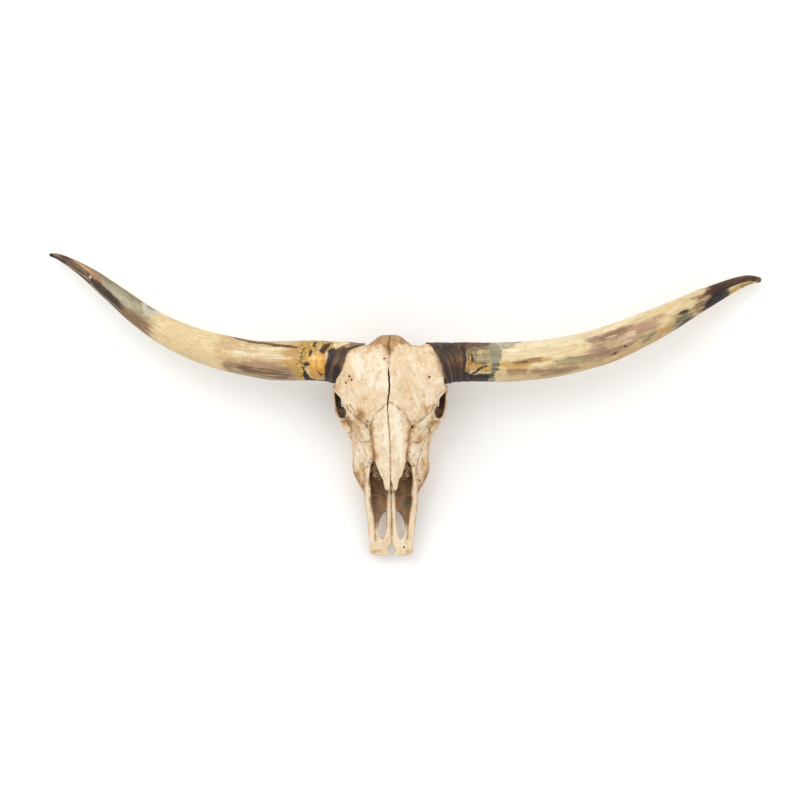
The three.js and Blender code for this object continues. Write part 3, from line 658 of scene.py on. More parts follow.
def drawnOut(outline, by, wave=0.0):
    # Outline in short steps, each point moved along the edge's normal by the distance and a small wave.
    corners = np.asarray(outline, float)
    pieces = []
    for a, b in zip(corners, np.roll(corners, -1, 0)):
        count = max(1, int(np.linalg.norm(b - a) / cuts["step"])) if wave else 1
        pieces.append(a + (b - a) * np.linspace(0, 1, count, endpoint=False)[:, None])
    line = np.concatenate(pieces)
    onward = unit(np.roll(line, -1, 0) - line)
    before = np.roll(onward, 1, 0)
    x, y = corners.T
    turn = np.sign(np.sum(x * np.roll(y, -1) - np.roll(x, -1) * y))
    normal = np.stack([onward[:, 1], -onward[:, 0]], 1) + np.stack([before[:, 1], -before[:, 0]], 1)
    normal *= turn / np.maximum(1, 1 + np.sum(onward * before, 1))[:, None]
    if wave:
        place = np.concatenate([line, line[:, :1] * 0], 1)
        by = by + wave * noises(place, (1, cuts["waveLength"], 3), (0.5, cuts["waveLength"] / 2, 4))[:, None]
    return line + normal * by


def copyOf(thing):
    # Another object with a mesh of its own.
    other = bpy.data.objects.new("copy", thing.data.copy())
    bpy.context.scene.collection.objects.link(other)
    return other


def cut(thing, knives, operation):
    # The piece inside all the knives together, or what the last of them leaves of it.
    for knife in knives:
        tool = copyOf(knife)
        applyModifier(thing, "BOOLEAN", object=tool, operation=operation, solver="MANIFOLD")
        bpy.data.meshes.remove(tool.data)
    return thing


def boneKnife(bone, side, by):
    # Block of a bone's two outlines, both drawn out by the distance.
    flip = 1 if side == "left" else -1
    far = cuts["far"]
    across = sorted([flip * (cuts["cheekFrom"] - by), flip * far])
    sideCut = prism(drawnOut(boneSides[bone], by, cuts["wave"]), -far, far, "x")
    if bone in bonePlans:
        plan = drawnOut(bonePlans[bone], by, cuts["wave"]) * (flip, 1)
        knife = combine(makeObject("knife", *sideCut), [prism(plan, -far, far, "z")], "INTERSECT")
        if bone == "frontal":
            reach = sorted([flip * (cuts["coreFrom"] - by), flip * far])
            combine(knife, [prism(drawnOut(boneSides["core"], by), *reach, "x")], "UNION")
        return knife
    if bone == "zygomatic":
        sideCut = prism(drawnOut(boneSides[bone], by, cuts["wave"]), *across, "x")
    return makeObject("knife", *sideCut)


def halfBlock(side):
    # Everything on one side of the long suture, whose gap varies along it.
    y = np.arange(midline["y"][0], midline["y"][-1] + 1, 2.0)
    middle, gap = smoothTable(midline["y"], np.stack([midline["x"], midline["gap"]], 1), y).T
    place = onLine(y)
    middle = middle + 0.9 * noise(place, 9, 5) + 0.5 * noise(place, 4, 6)
    flip = 1 if side == "left" else -1
    edge = np.stack([middle + flip * gap / 2, y], 1)
    far = [[flip * cuts["far"], y[-1]], [flip * cuts["far"], y[0]]]
    return makeObject("half", *prism(np.concatenate([edge, far]), -cuts["far"], cuts["far"], "z"))


def drop(*things):
    # Takes helpers out by their meshes.
    for thing in things:
        bpy.data.meshes.remove(thing.data)


def partSkull(skull):
    # Each bone is what lies half a seam inside its line, of what the bones before it have left.
    half = cuts["seam"] / 2
    found = {}
    craniumBlock = boneKnife("cranium", "left", -half)
    cranium = cut(copyOf(skull), [craniumBlock], "INTERSECT")
    behind = boneKnife("cranium", "left", half)
    for side in ("left", "right"):
        block = halfBlock(side)
        rest = cut(copyOf(skull), [block], "INTERSECT")
        for bone in ("zygomatic", "nasal", "frontal", "lacrimal", "incisive"):
            inner, outer = boneKnife(bone, side, -half), boneKnife(bone, side, half)
            found[f"{bone}_{side}"] = cut(copyOf(rest), [inner], "INTERSECT")
            cut(rest, [outer], "DIFFERENCE")
            if bone != "incisive":
                cut(cranium, [outer], "DIFFERENCE")
            drop(inner, outer)
        found[f"maxilla_{side}"] = cut(rest, [behind], "DIFFERENCE")
        drop(block)
    drop(craniumBlock, behind)
    found["cranium"] = cranium
    return found


surface = {
    "voxel": 1.35, "craniumVoxel": 1.6,  # size of the finished meshes' faces, in mm
    "smoothRounds": 4,
    "lumps": [(0.75, 34, 11), (0.42, 12, 12), (0.22, 5, 13)],  # height and size in mm, and seed
    "pitDepth": 2.2, "reliefRounds": 14,
    "pull": (0.55, -0.38),  # shares of the way to the neighbours' mean, inwards and back out
}


dirtAndShade = {
    # Openings of the left side as they look from above. Inside the eye socket is painted dark, as shade, and
    # the nose's floor brown, as shade and grime.
    "socket": [[122.8, 366], [113, 362.5], [106, 356], [100, 343], [97, 325], [96.5, 312], [98.5, 303],
               [105, 300.5], [112.5, 303], [117, 311], [119, 325], [119.5, 342], [122.5, 354]],
    "nose": [[0, 300], [38, 250], [44, 215], [47, 190], [49, 165], [48, 140], [46, 125], [42, 97], [39, 83],
             [34, 60], [29, 45], [23, 36], [14, 38], [11.5, 60], [11, 97], [11, 150], [0, 150]],
    # Stains: place (x, y), half widths and strength. A strength below 0 is bleached bone.
    "stains": [
        [0, 466, 13, 20, 1.9], [-32, 474, 24, 10, 1], [38, 472, 26, 10, 1], [-30, 462, 22, 10, 0.5],
        [-90, 392, 14, 16, 0.5], [-60, 309, 20, 13, 0.8], [-57, 344, 13, 9, 0.45], [24, 425, 14, 15, 0.35],
        [104, 420, 9, 24, 0.35], [36, 366, 15, 18, 0.4], [48, 344.7, 3.4, 3, 0.9], [75, 325, 9, 18, 0.85],
        [-42, 274, 6, 16, 0.9], [52, 278, 6, 16, 0.9], [-36, 216, 5, 14, 1.2], [62, 262, 9, 15, 0.7],
        [-98, 436, 8, 20, 0.4], [-80, 250, 4, 30, 0.3], [82, 236, 5, 30, 0.35], [-72, 236, 7, 26, -0.6],
        [-26, 256, 7, 30, 0.35], [-9, 146, 6, 6, 0.5], [10, 144, 6, 5, 0.4], [-99, 296, 9, 13, 0.85],
        # The two stains at x -121 and 122, y 332 brown the inner face of the eyes' outer walls: painted shade
        # as well as grime.
        [103, 298, 9, 13, 0.7], [-121, 332, 5, 34, 0.8], [122, 332, 5, 34, 0.6], [-36, 10, 16, 9, 0.8],
        [42, 9, 14, 8, 0.8], [-112, 372, 8, 8, 0.5], [66, 446, 20, 8, 0.5], [-66, 448, 20, 8, 0.5],
        [-76, 170, 12, 22, 0.9], [80, 166, 12, 24, 0.9], [-64, 140, 5, 14, 0.9], [67, 140, 5, 14, 0.9],
        [-62, 200, 4, 34, 0.4], [70, 205, 4, 34, 0.5], [55, 90, 5, 46, 0.6], [40, 56, 6, 30, 0.45],
        [-40, 56, 6, 34, -0.4], [-40, 256, 6, 34, 0.8], [41, 262, 7, 28, 0.9], [37, 216, 4, 16, 1],
        [-52, 60, 4, 40, 0.3], [38, 240, 5, 34, 0.55], [-70, 296, 6, 30, 0.55], [96, 340, 5, 16, 0.6],
        [-95, 345, 5, 16, 0.6], [-11, 60, 8, 34, 0.4], [-70, 422, 22, 20, -0.35], [12, 296, 10, 34, -0.6],
        [106, 386, 12, 8, -0.7], [-12, 262, 6, 46, -0.35], [-30, 400, 30, 26, -0.35],
        [60, 418, 20, 16, -0.3], [74, 283, 7, 12, -0.7], [-62, 225, 7, 26, -0.55], [60, 214, 6, 24, -0.4],
        [20, 240, 7, 40, -0.5], [-52, 110, 5, 40, -0.5], [-8, 378, 16, 20, -0.35], [-44, 330, 10, 12, -0.3],
        [12, 120, 5, 30, -0.3],
    ],
}


def stainAndShadeOf(verts, turned):
    # Sum of the named stains with their borders broken by noise, and of painted shade on faces turned from
    # above, from -1, bleached, to 1, brown.
    x, y, z = verts.T
    x = x + 3.5 * noise(verts, 9, 71) + 2 * noise(verts, 4, 72)
    y = y + 4.5 * noise(verts, 11, 73) + 2 * noise(verts, 4, 74)
    total = np.zeros(len(verts))
    for midX, midY, halfX, halfY, strength in dirtAndShade["stains"]:
        total += strength * np.exp(-((x - midX) / halfX) ** 2 - ((y - midY) / halfY) ** 2)
    total *= smoothStep(30, 60, z + 60 * (y < 100))
    # Faces turned away from above are painted brown: painted shade, with some grime.
    total += 0.6 * smoothStep(0.80, 0.15, turned) - 0.04
    streaks = verts * (1, 0.6, 1)
    total += 0.26 * noise(verts, 26, 76) + 0.17 * noise(streaks, 10, 77) + 0.16 * noise(streaks, 4, 78)
    return np.clip(total, -1, 1)


def holesOf(verts):
    # Masks of painted shade: eye sockets seen through their openings, and the floor of the nose, whose brown
    # is grime as well as shade.
    plan = np.stack([np.abs(verts[:, 0]), verts[:, 1]], 1)
    z = verts[:, 2]
    socket = smoothStep(-0.8, 1.2, insideBy(plan, dirtAndShade["socket"])) * smoothStep(178, 168, z)
    nose = smoothStep(-1.5, 4, insideBy(plan, dirtAndShade["nose"]) + 1.5 * noise(verts, 7, 75))
    nose *= smoothStep(112, 100, z) * smoothStep(36, 40, z) * smoothStep(38, 80, verts[:, 1])
    return socket, nose


def pitsOf(verts):
    # Small round holes: 1 in the middle, 0 outside.
    total = np.zeros(len(verts))
    for x, y, radius in sculpt["pits"]:
        off = np.hypot(verts[:, 0] - x, verts[:, 1] - y) / radius * (1 + 0.55 * noise(verts, 2.6, 79))
        total = np.maximum(total, np.exp(-off ** 2))
    return total


def largestPart(verts, quads):
    # Keeps the largest joined piece: every vertex takes the lowest number that its faces reach.
    label = np.arange(len(verts))
    while True:
        low = label[quads].min(1)
        fresh = label.copy()
        np.minimum.at(fresh, quads.ravel(), np.repeat(low, 4))
        fresh = fresh[fresh]
        if np.array_equal(fresh, label):
            break
        label = fresh
    keep = label == np.bincount(label).argmax()
    number = np.cumsum(keep) - 1
    return verts[keep], number[quads[keep[quads[:, 0]]]]


def readQuads(thing):
    # Points, and faces of four corners each, as a remesh leaves them.
    mesh = thing.data
    loops = np.empty(len(mesh.loops), np.int32)
    mesh.loops.foreach_get("vertex_index", loops)
    return readVerts(mesh), loops.reshape(-1, 4)


def normalsOf(verts, quads):
    # Mean of the neighbouring faces' normals, each weighted by its area.
    a, b, c, d = (verts[quads[:, k]] for k in range(4))
    face = np.cross(c - a, d - b)
    total = np.zeros_like(verts)
    for k in range(3):
        total[:, k] = np.bincount(quads.ravel(), np.repeat(face[:, k], 4), len(verts))
    return total / np.maximum(np.linalg.norm(total, axis=1), 1e-9)[:, None]


def edgesOf(quads):
    # Each pair of neighbouring points once.
    pairs = np.concatenate([quads[:, [k, (k + 1) % 4]] for k in range(4)])
    return np.unique(np.sort(pairs, 1), axis=0)


def relax(verts, edges, rounds, weight):
    # Moves each vertex towards the mean of its neighbours, and then slightly back out.
    for turn in range(rounds * 2):
        pull = surface["pull"][turn % 2] * weight[:, None]
        verts = verts + pull * (meanOfNeighbours(verts, edges) - verts)
    return verts


def meanOfNeighbours(values, edges):
    # Sum of the values at the other ends of a point's edges, over their number.
    a, b = edges.T
    total = len(values)
    links = np.bincount(a, minlength=total) + np.bincount(b, minlength=total)
    return np.stack([(np.bincount(a, values[b, k], total) + np.bincount(b, values[a, k], total)) / links
                     for k in range(values.shape[1])], 1)


def toothiness(verts):
    # 1 on the crowns of the cheek teeth, 0 above the gum.
    inside = np.zeros(len(verts))
    for x, y, long, wide in zip(teeth["x"], teeth["y"], teeth["length"], teeth["width"]):
        off = np.maximum(np.abs(np.abs(verts[:, 0]) - x) - wide / 2, np.abs(verts[:, 1] - y) - long / 2)
        inside = np.maximum(inside, 1 - smoothStep(0.6, 2.0, off))
    return inside * (1 - smoothStep(palate["gum"] - 2, palate["gum"] + 2, verts[:, 2]))


def finishBone(name, thing):
    # Remesh, smooth, then move each point along its normal by the relief less the pits.
    size = surface["craniumVoxel" if name == "cranium" else "voxel"]
    applyModifier(thing, "REMESH", mode="VOXEL", voxel_size=size / 1000)
    verts, quads = largestPart(*readQuads(thing))
    drop(thing)
    tooth = toothiness(verts)
    floor = 1 - smoothStep(0.4, 1.6, verts[:, 2])
    edges = edgesOf(quads)
    verts = relax(verts, edges, surface["smoothRounds"], 1 - 0.6 * np.maximum(tooth, floor))
    normal = normalsOf(verts, quads)
    height = noises(verts, *surface["lumps"]) * (1 - 0.8 * np.maximum(tooth, floor))
    pits = pitsOf(verts) * smoothStep(0.4, 0.7, normal[:, 2]) * smoothStep(20, 34, verts[:, 2])
    verts = verts + normal * (height - surface["pitDepth"] * pits)[:, None]
    stainAndShade = stainAndShadeOf(verts, normal[:, 2])
    upper = smoothStep(90, 110, verts[:, 2])
    # The pits mask paints the small holes umber, as painted shade, and the long suture's furrow as a dark
    # joint.
    pits = np.maximum(pits, furrowOf(verts)[1] * smoothStep(0.1, 0.5, normal[:, 2]) * upper)
    socket, nose = holesOf(verts)
    verts[:, 2] = np.maximum(verts[:, 2], 0)
    verts = leanOver(verts)
    normal = normalsOf(verts, quads)
    flat = verts
    for _ in range(surface["reliefRounds"]):
        flat = meanOfNeighbours(flat, edges)
    relief = np.einsum("ij,ij->i", normal, verts - flat)  # above 0 on ridges, below 0 in grooves
    return {"name": name, "verts": verts, "quads": quads, "edges": edges, "normal": normal,
            "relief": relief, "tooth": tooth, "stainAndShade": stainAndShade, "socket": socket, "nose": nose, "pits": pits}


def nearOthers(pieces, size=1.6):
    # Marks the vertices that lie beside another bone: each small cube of space notes the bones in it.
    low = np.min([piece["verts"].min(0) for piece in pieces], 0) - 2 * size
    high = np.max([piece["verts"].max(0) for piece in pieces], 0) + 3 * size
    shape = np.ceil((high - low) / size).astype(int)
    held = np.zeros(shape, np.int32)
    cells = [((piece["verts"] - low) / size).astype(int) for piece in pieces]
    for number, cell in enumerate(cells):
        held[tuple(cell.T)] |= 1 << number
    around = held.copy()
    for axis in range(3):
        around = around | np.roll(around, 1, axis) | np.roll(around, -1, axis)
    for number, (piece, cell) in enumerate(zip(pieces, cells)):
        near = ((around[tuple(cell.T)] & ~(1 << number)) != 0).astype(float)
        for _ in range(2):
            near = meanOfNeighbours(near[:, None], piece["edges"])[:, 0]
        piece["seam"] = near


skyLight = {"voxel": 0.0042, "rays": 46, "reach": 130, "goldenAngle": 2.39996, "offset": 2.5, "grazing": 0.12}


def openness(pieces, solid):
    # How much of the sky over each point no bone hides, from rays off a coarse copy of the skull.
    coarse = copyOf(solid)
    applyModifier(coarse, "REMESH", mode="VOXEL", voxel_size=skyLight["voxel"])
    verts, quads = readQuads(coarse)
    drop(coarse)
    verts = leanOver(verts)
    tree = BVHTree.FromPolygons(verts.tolist(), quads.tolist())
    order = np.arange(skyLight["rays"])
    turn = order * skyLight["goldenAngle"]
    rise = 1 - (order + 0.5) * 2 / skyLight["rays"]
    level = np.sqrt(1 - rise ** 2)
    ways = np.stack([level * np.cos(turn), level * np.sin(turn), rise], 1)
    normal = normalsOf(verts, quads)
    facing = normal @ ways.T
    start = verts + normal * skyLight["offset"]
    seen = np.zeros(len(verts))
    full = np.zeros(len(verts))
    for number, way in enumerate(ways):
        aim = Vector(way)
        rows = np.nonzero(facing[:, number] > skyLight["grazing"])[0]
        hits = [tree.ray_cast(Vector(start[row]), aim, skyLight["reach"])[0] for row in rows]
        free = np.array([hit is None for hit in hits])
        seen[rows] += facing[rows, number] * free
        full[rows] += facing[rows, number]
    sky = (seen / np.maximum(full, 1e-6))[:, None]
    sky = meanOfNeighbours(sky, edgesOf(quads))[:, 0]
    finder = kdtree.KDTree(len(verts))
    for number, spot in enumerate(start.tolist()):
        finder.insert(spot, number)
    finder.balance()
    for piece in pieces:
        lifted = (piece["verts"] + piece["normal"] * skyLight["offset"]).tolist()
        piece["sky"] = sky[[finder.find(spot)[1] for spot in lifted]]
        for _ in range(2):
            piece["sky"] = meanOfNeighbours(piece["sky"][:, None], piece["edges"])[:, 0]


def setColour(mesh, name, *channels):
    # Four masks in one colour attribute of the vertices.
    layer = mesh.attributes.new(name, "FLOAT_COLOR", "POINT")
    columns = [np.broadcast_to(channel, len(mesh.vertices)) for channel in channels]
    columns += [np.ones(len(mesh.vertices))] * (4 - len(columns))
    layer.data.foreach_set("color", np.stack(columns, 1).astype(np.float32).ravel())


def placeBone(piece):
    # The finished bone, with its measures as two colours on its points.
    thing = makeObject(piece["name"] + "_bone", piece["verts"], piece["quads"].tolist())
    mesh = thing.data
    mesh.shade_smooth()
    relief = np.clip(0.5 + piece["relief"] / 2.4, 0, 1)
    setColour(mesh, "shadeAndWear", piece["sky"], relief, piece["seam"], piece["tooth"])
    setColour(mesh, "dirtAndShade", piece["socket"], piece["nose"], 0.5 + 0.5 * piece["stainAndShade"], piece["pits"])
    mesh.materials.append(boneMaterial)
    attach(thing, "root")
    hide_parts(piece["name"])
    return thing


# Thin curled plates inside the nose: middle of the curl (x, z), its widest and narrowest radius,
# turns, and how far back it runs, of the left side.
scrolls = {"curls": [[[33, 92], [15, 5], 1.35, [172, 268]], [[30, 66], [11, 4], 1.2, [164, 262]]],
           "around": 64, "onward": 70, "thick": 0.8}


def placeScrolls(flip):
    # Each curl is a sheet with ragged holes, given its thickness afterwards.
    across, onward = scrolls["around"], scrolls["onward"]
    verts, faces = [], []
    for number, ((midX, midZ), (wide, slim), laps, (front, rear)) in enumerate(scrolls["curls"]):
        turn, run = np.meshgrid(np.linspace(0, 1, across), np.linspace(0, 1, onward))
        radius = wide + (slim - wide) * turn
        angle = 2 * math.pi * laps * turn + 0.6
        sheet = np.stack([midX + radius * np.cos(angle), front + (rear - front) * run,
                          midZ + radius * np.sin(angle) + 8 * run], -1).reshape(-1, 3)
        sheet += np.stack([noise(sheet, 8, 81 + number), noise(sheet, 8, 84 + number),
                           noise(sheet, 8, 87 + number)], 1) * 1.8
        index = np.arange(len(sheet)).reshape(onward, across)
        quads = np.stack([index[:-1, :-1], index[:-1, 1:], index[1:, 1:], index[1:, :-1]], -1).reshape(-1, 4)
        middle = sheet[quads].mean(1)
        worn = noises(middle, (1, 5, 90 + number), (0.5, 2.4, 93 + number))
        ragged = 0.3 + 0.9 * smoothStep(front + 26, front, middle[:, 1] + 6 * noise(middle, 6, 96))
        faces += (quads[worn < 0.85 - ragged * 0.75] + sum(map(len, verts))).tolist()
        verts.append(sheet)
    used, faces = np.unique(np.array(faces), return_inverse=True)
    verts = np.concatenate(verts)[used]
    verts = leanOver(verts * (flip, 1, 1))
    side = "left" if flip > 0 else "right"
    thing = makeObject("nose_scrolls_" + side, verts, faces.reshape(-1, 4).tolist())
    applyModifier(thing, "SOLIDIFY", thickness=scrolls["thick"] / 1000, offset=0)
    mesh = thing.data
    mesh.shade_smooth()
    # Deep in the nose the scrolls take a fixed sky of 0.42, painted shade, and part of the nose floor's
    # brown, painted shade with grime.
    setColour(mesh, "shadeAndWear", 0.42, 0.5, 0.0, 0.0)
    setColour(mesh, "dirtAndShade", 0.0, 0.35, 0.7, 0.0)
    mesh.materials.append(boneMaterial)
    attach(thing, "root")


sheath = {
    "sides": 216, "steps": 420, "innerSteps": 26,
    "lip": 3.4, "wall": 7.5, "floor": 6,  # wall at the mouth's edge, further in, and more at its floor
    "rings": {"spacing": 5, "height": 0.6, "to": 135},
    "fibres": {"width": 2.6, "length": 90, "height": 0.11},
    "lumps": {"size": 60, "height": 1.1},
    # How far the lip runs in over the bone, and its ear and rise at the back, in mm.
    "cover": {"right": 8, "left": 0}, "ear": {"right": 22, "left": 6}, "flare": {"right": 8, "left": 5},
    "fade": {"inset": 34, "flare": 44, "lift": 40},  # how far from the mouth each one dies away, in mm
}


def shapeLip(name, side, top, forward, walls):
    # The lip is ragged. At the back it flares and runs on as an ear, whose hollow side faces up.
    around = np.stack([45 * side, 45 * top, 0 * top], 1)
    ear = smoothStep(0.3, 0.75, side) * smoothStep(0.8, 0.35, top) * smoothStep(-0.95, -0.6, top)
    inset = np.maximum(noises(around, (2, 13, 21), (1, 4, 22)), -2.5)
    inset = inset + sheath["ear"][name] * ear + sheath["cover"][name] * smoothStep(-0.5, 0.2, top)
    back = smoothStep(0.2, 0.85, side) * smoothStep(-0.9, -0.4, top)
    for rings, spot in walls:
        near = {key: (1 - smoothStep(0, far, spot))[:, None] for key, far in sheath["fade"].items()}
        rings -= forward[:1, None] * (near["inset"] * inset)[..., None]
        flare = sheath["flare"][name] * near["flare"] * back
        rings += (0, 1, 0) * flare[..., None]
        lift = 0.4 * sheath["cover"][name] * near["lift"] * smoothStep(-0.2, 0.8, top)
        rings += (0, 0, 1) * lift[..., None]


def growthOf(spots, s):
    # Uneven rings round the horn: noise along it, whose place wobbles from side to side.
    spacing = sheath["rings"]["spacing"]
    wobble = s + 5 * noise(spots * (0.4, 1, 1), 26, 31) + 2.4 * noise(spots * (0.4, 1, 1), 9, 38)
    return noises(onLine(wobble), (1, spacing / 2, 32), (0.5, spacing / 5, 33))


def hornRelief(spots, s, growth):
    # Rings and roughness near the root, fibres along the horn, and broad swellings.
    bands, fibres, lumps = (sheath[key] for key in ("rings", "fibres", "lumps"))
    height = bands["height"] * (1 - smoothStep(50, bands["to"], s)) * growth
    height += 0.5 * (1 - smoothStep(50, 170, s)) * noise(spots, 5, 34)
    stretched = spots * (fibres["width"] / fibres["length"], 1, 1)
    height += fibres["height"] * noises(stretched, (1, fibres["width"], 35), (1, 2.5 * fibres["width"], 36))
    return height + lumps["height"] * noise(spots, lumps["size"], 37)


def hornPiece(name):
    # The outer wall runs from the mouth to the tip, and the inner one from the mouth to its floor.
    flip = 1 if name == "left" else -1
    sides = sheath["sides"]
    along = np.linspace(0, 1, sheath["steps"]) ** 1.22
    rings, forward = hornRings(name, along, sides, 0)
    middle = rings.mean(1)
    length = np.concatenate([[0], np.cumsum(np.linalg.norm(np.diff(middle, axis=0), axis=1))])
    depth = np.linspace(0, 1, sheath["innerSteps"])
    inwards = np.interp(horns["mouthDepth"] * depth, length, along)
    inner, _ = hornRings(name, inwards, sides, 0)
    wall = sheath["lip"] + (sheath["wall"] - sheath["lip"]) * smoothStep(0, 0.5, depth)
    wall += sheath["floor"] * smoothStep(0.85, 1, depth)
    hub = inner.mean(1, keepdims=True)
    size = np.linalg.norm(inner - hub, axis=2, keepdims=True)
    inner = hub + (inner - hub) * (1 - wall[:, None, None] / size)

    angle = turns(sides)
    side = flip * np.cos(angle)  # 1 at the back, -1 at the front
    top = np.sin(angle)
    # How far each point leads its ring's middle, which is most at the slanted mouth.
    lead = np.einsum("ijk,ik->ij", rings - middle[:, None], forward)
    radius = np.linalg.norm(rings - middle[:, None] - forward[:, None] * lead[..., None], axis=2)
    place = np.stack([length[:, None] + lead, radius * side, radius * top], -1)
    reach = (np.abs(middle[:, :1]) + np.abs(forward[:, :1]) * lead).ravel()

    shapeLip(name, side, top, forward, ((rings, length), (inner, horns["mouthDepth"] * depth)))
    spots = place.reshape(-1, 3)
    sideAll, topAll = np.tile(side, len(rings)), np.tile(top, len(rings))
    s = np.repeat(length, sides)
    slim = smoothStep(4, 30, radius.ravel())
    growth = growthOf(spots, s)
    height = hornRelief(spots, s, growth)
    outward = rings - middle[:, None] - forward[:, None] * lead[..., None]
    outward /= np.maximum(radius, 1e-6)[..., None]
    tint, crackled, sunk = paintHorn(name, reach, sideAll, topAll, spots, growth, s)
    height -= 0.9 * sunk
    rings = rings + outward * (height * slim).reshape(radius.shape)[..., None]

    thing = makeObject(f"horn_{name}_sheath", *loft(np.concatenate([inner[::-1], rings])))
    mesh = thing.data
    mesh.shade_smooth()
    hidden = len(depth) * sides
    ways = np.broadcast_to(np.stack([side, top], 1) * 40, (len(depth), sides, 2))
    within = np.broadcast_to((horns["mouthDepth"] * depth[::-1])[:, None, None], (len(depth), sides, 1))
    straight = mesh.attributes.new("hornPlace", "FLOAT_VECTOR", "POINT")
    flat = np.concatenate([np.concatenate([within, ways], 2).reshape(-1, 3), spots]) / 1000
    straight.data.foreach_set("vector", flat.astype(np.float32).ravel())
    # The sheath's inside goes from umber at the mouth to black further in: painted shade.
    shade = np.repeat(smoothStep(0.05, 0.5, depth[::-1]), sides)[:, None]
    lining = keratin("umber") * (1 - shade) + keratin("black") * shade
    colours = np.concatenate([lining, tint])
    setColour(mesh, "tint", *colours.T, np.concatenate([np.zeros(hidden), crackled]))
    mesh.materials.append(hornMaterial)
    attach(thing, "root")
    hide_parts("horn_" + name)
    return thing


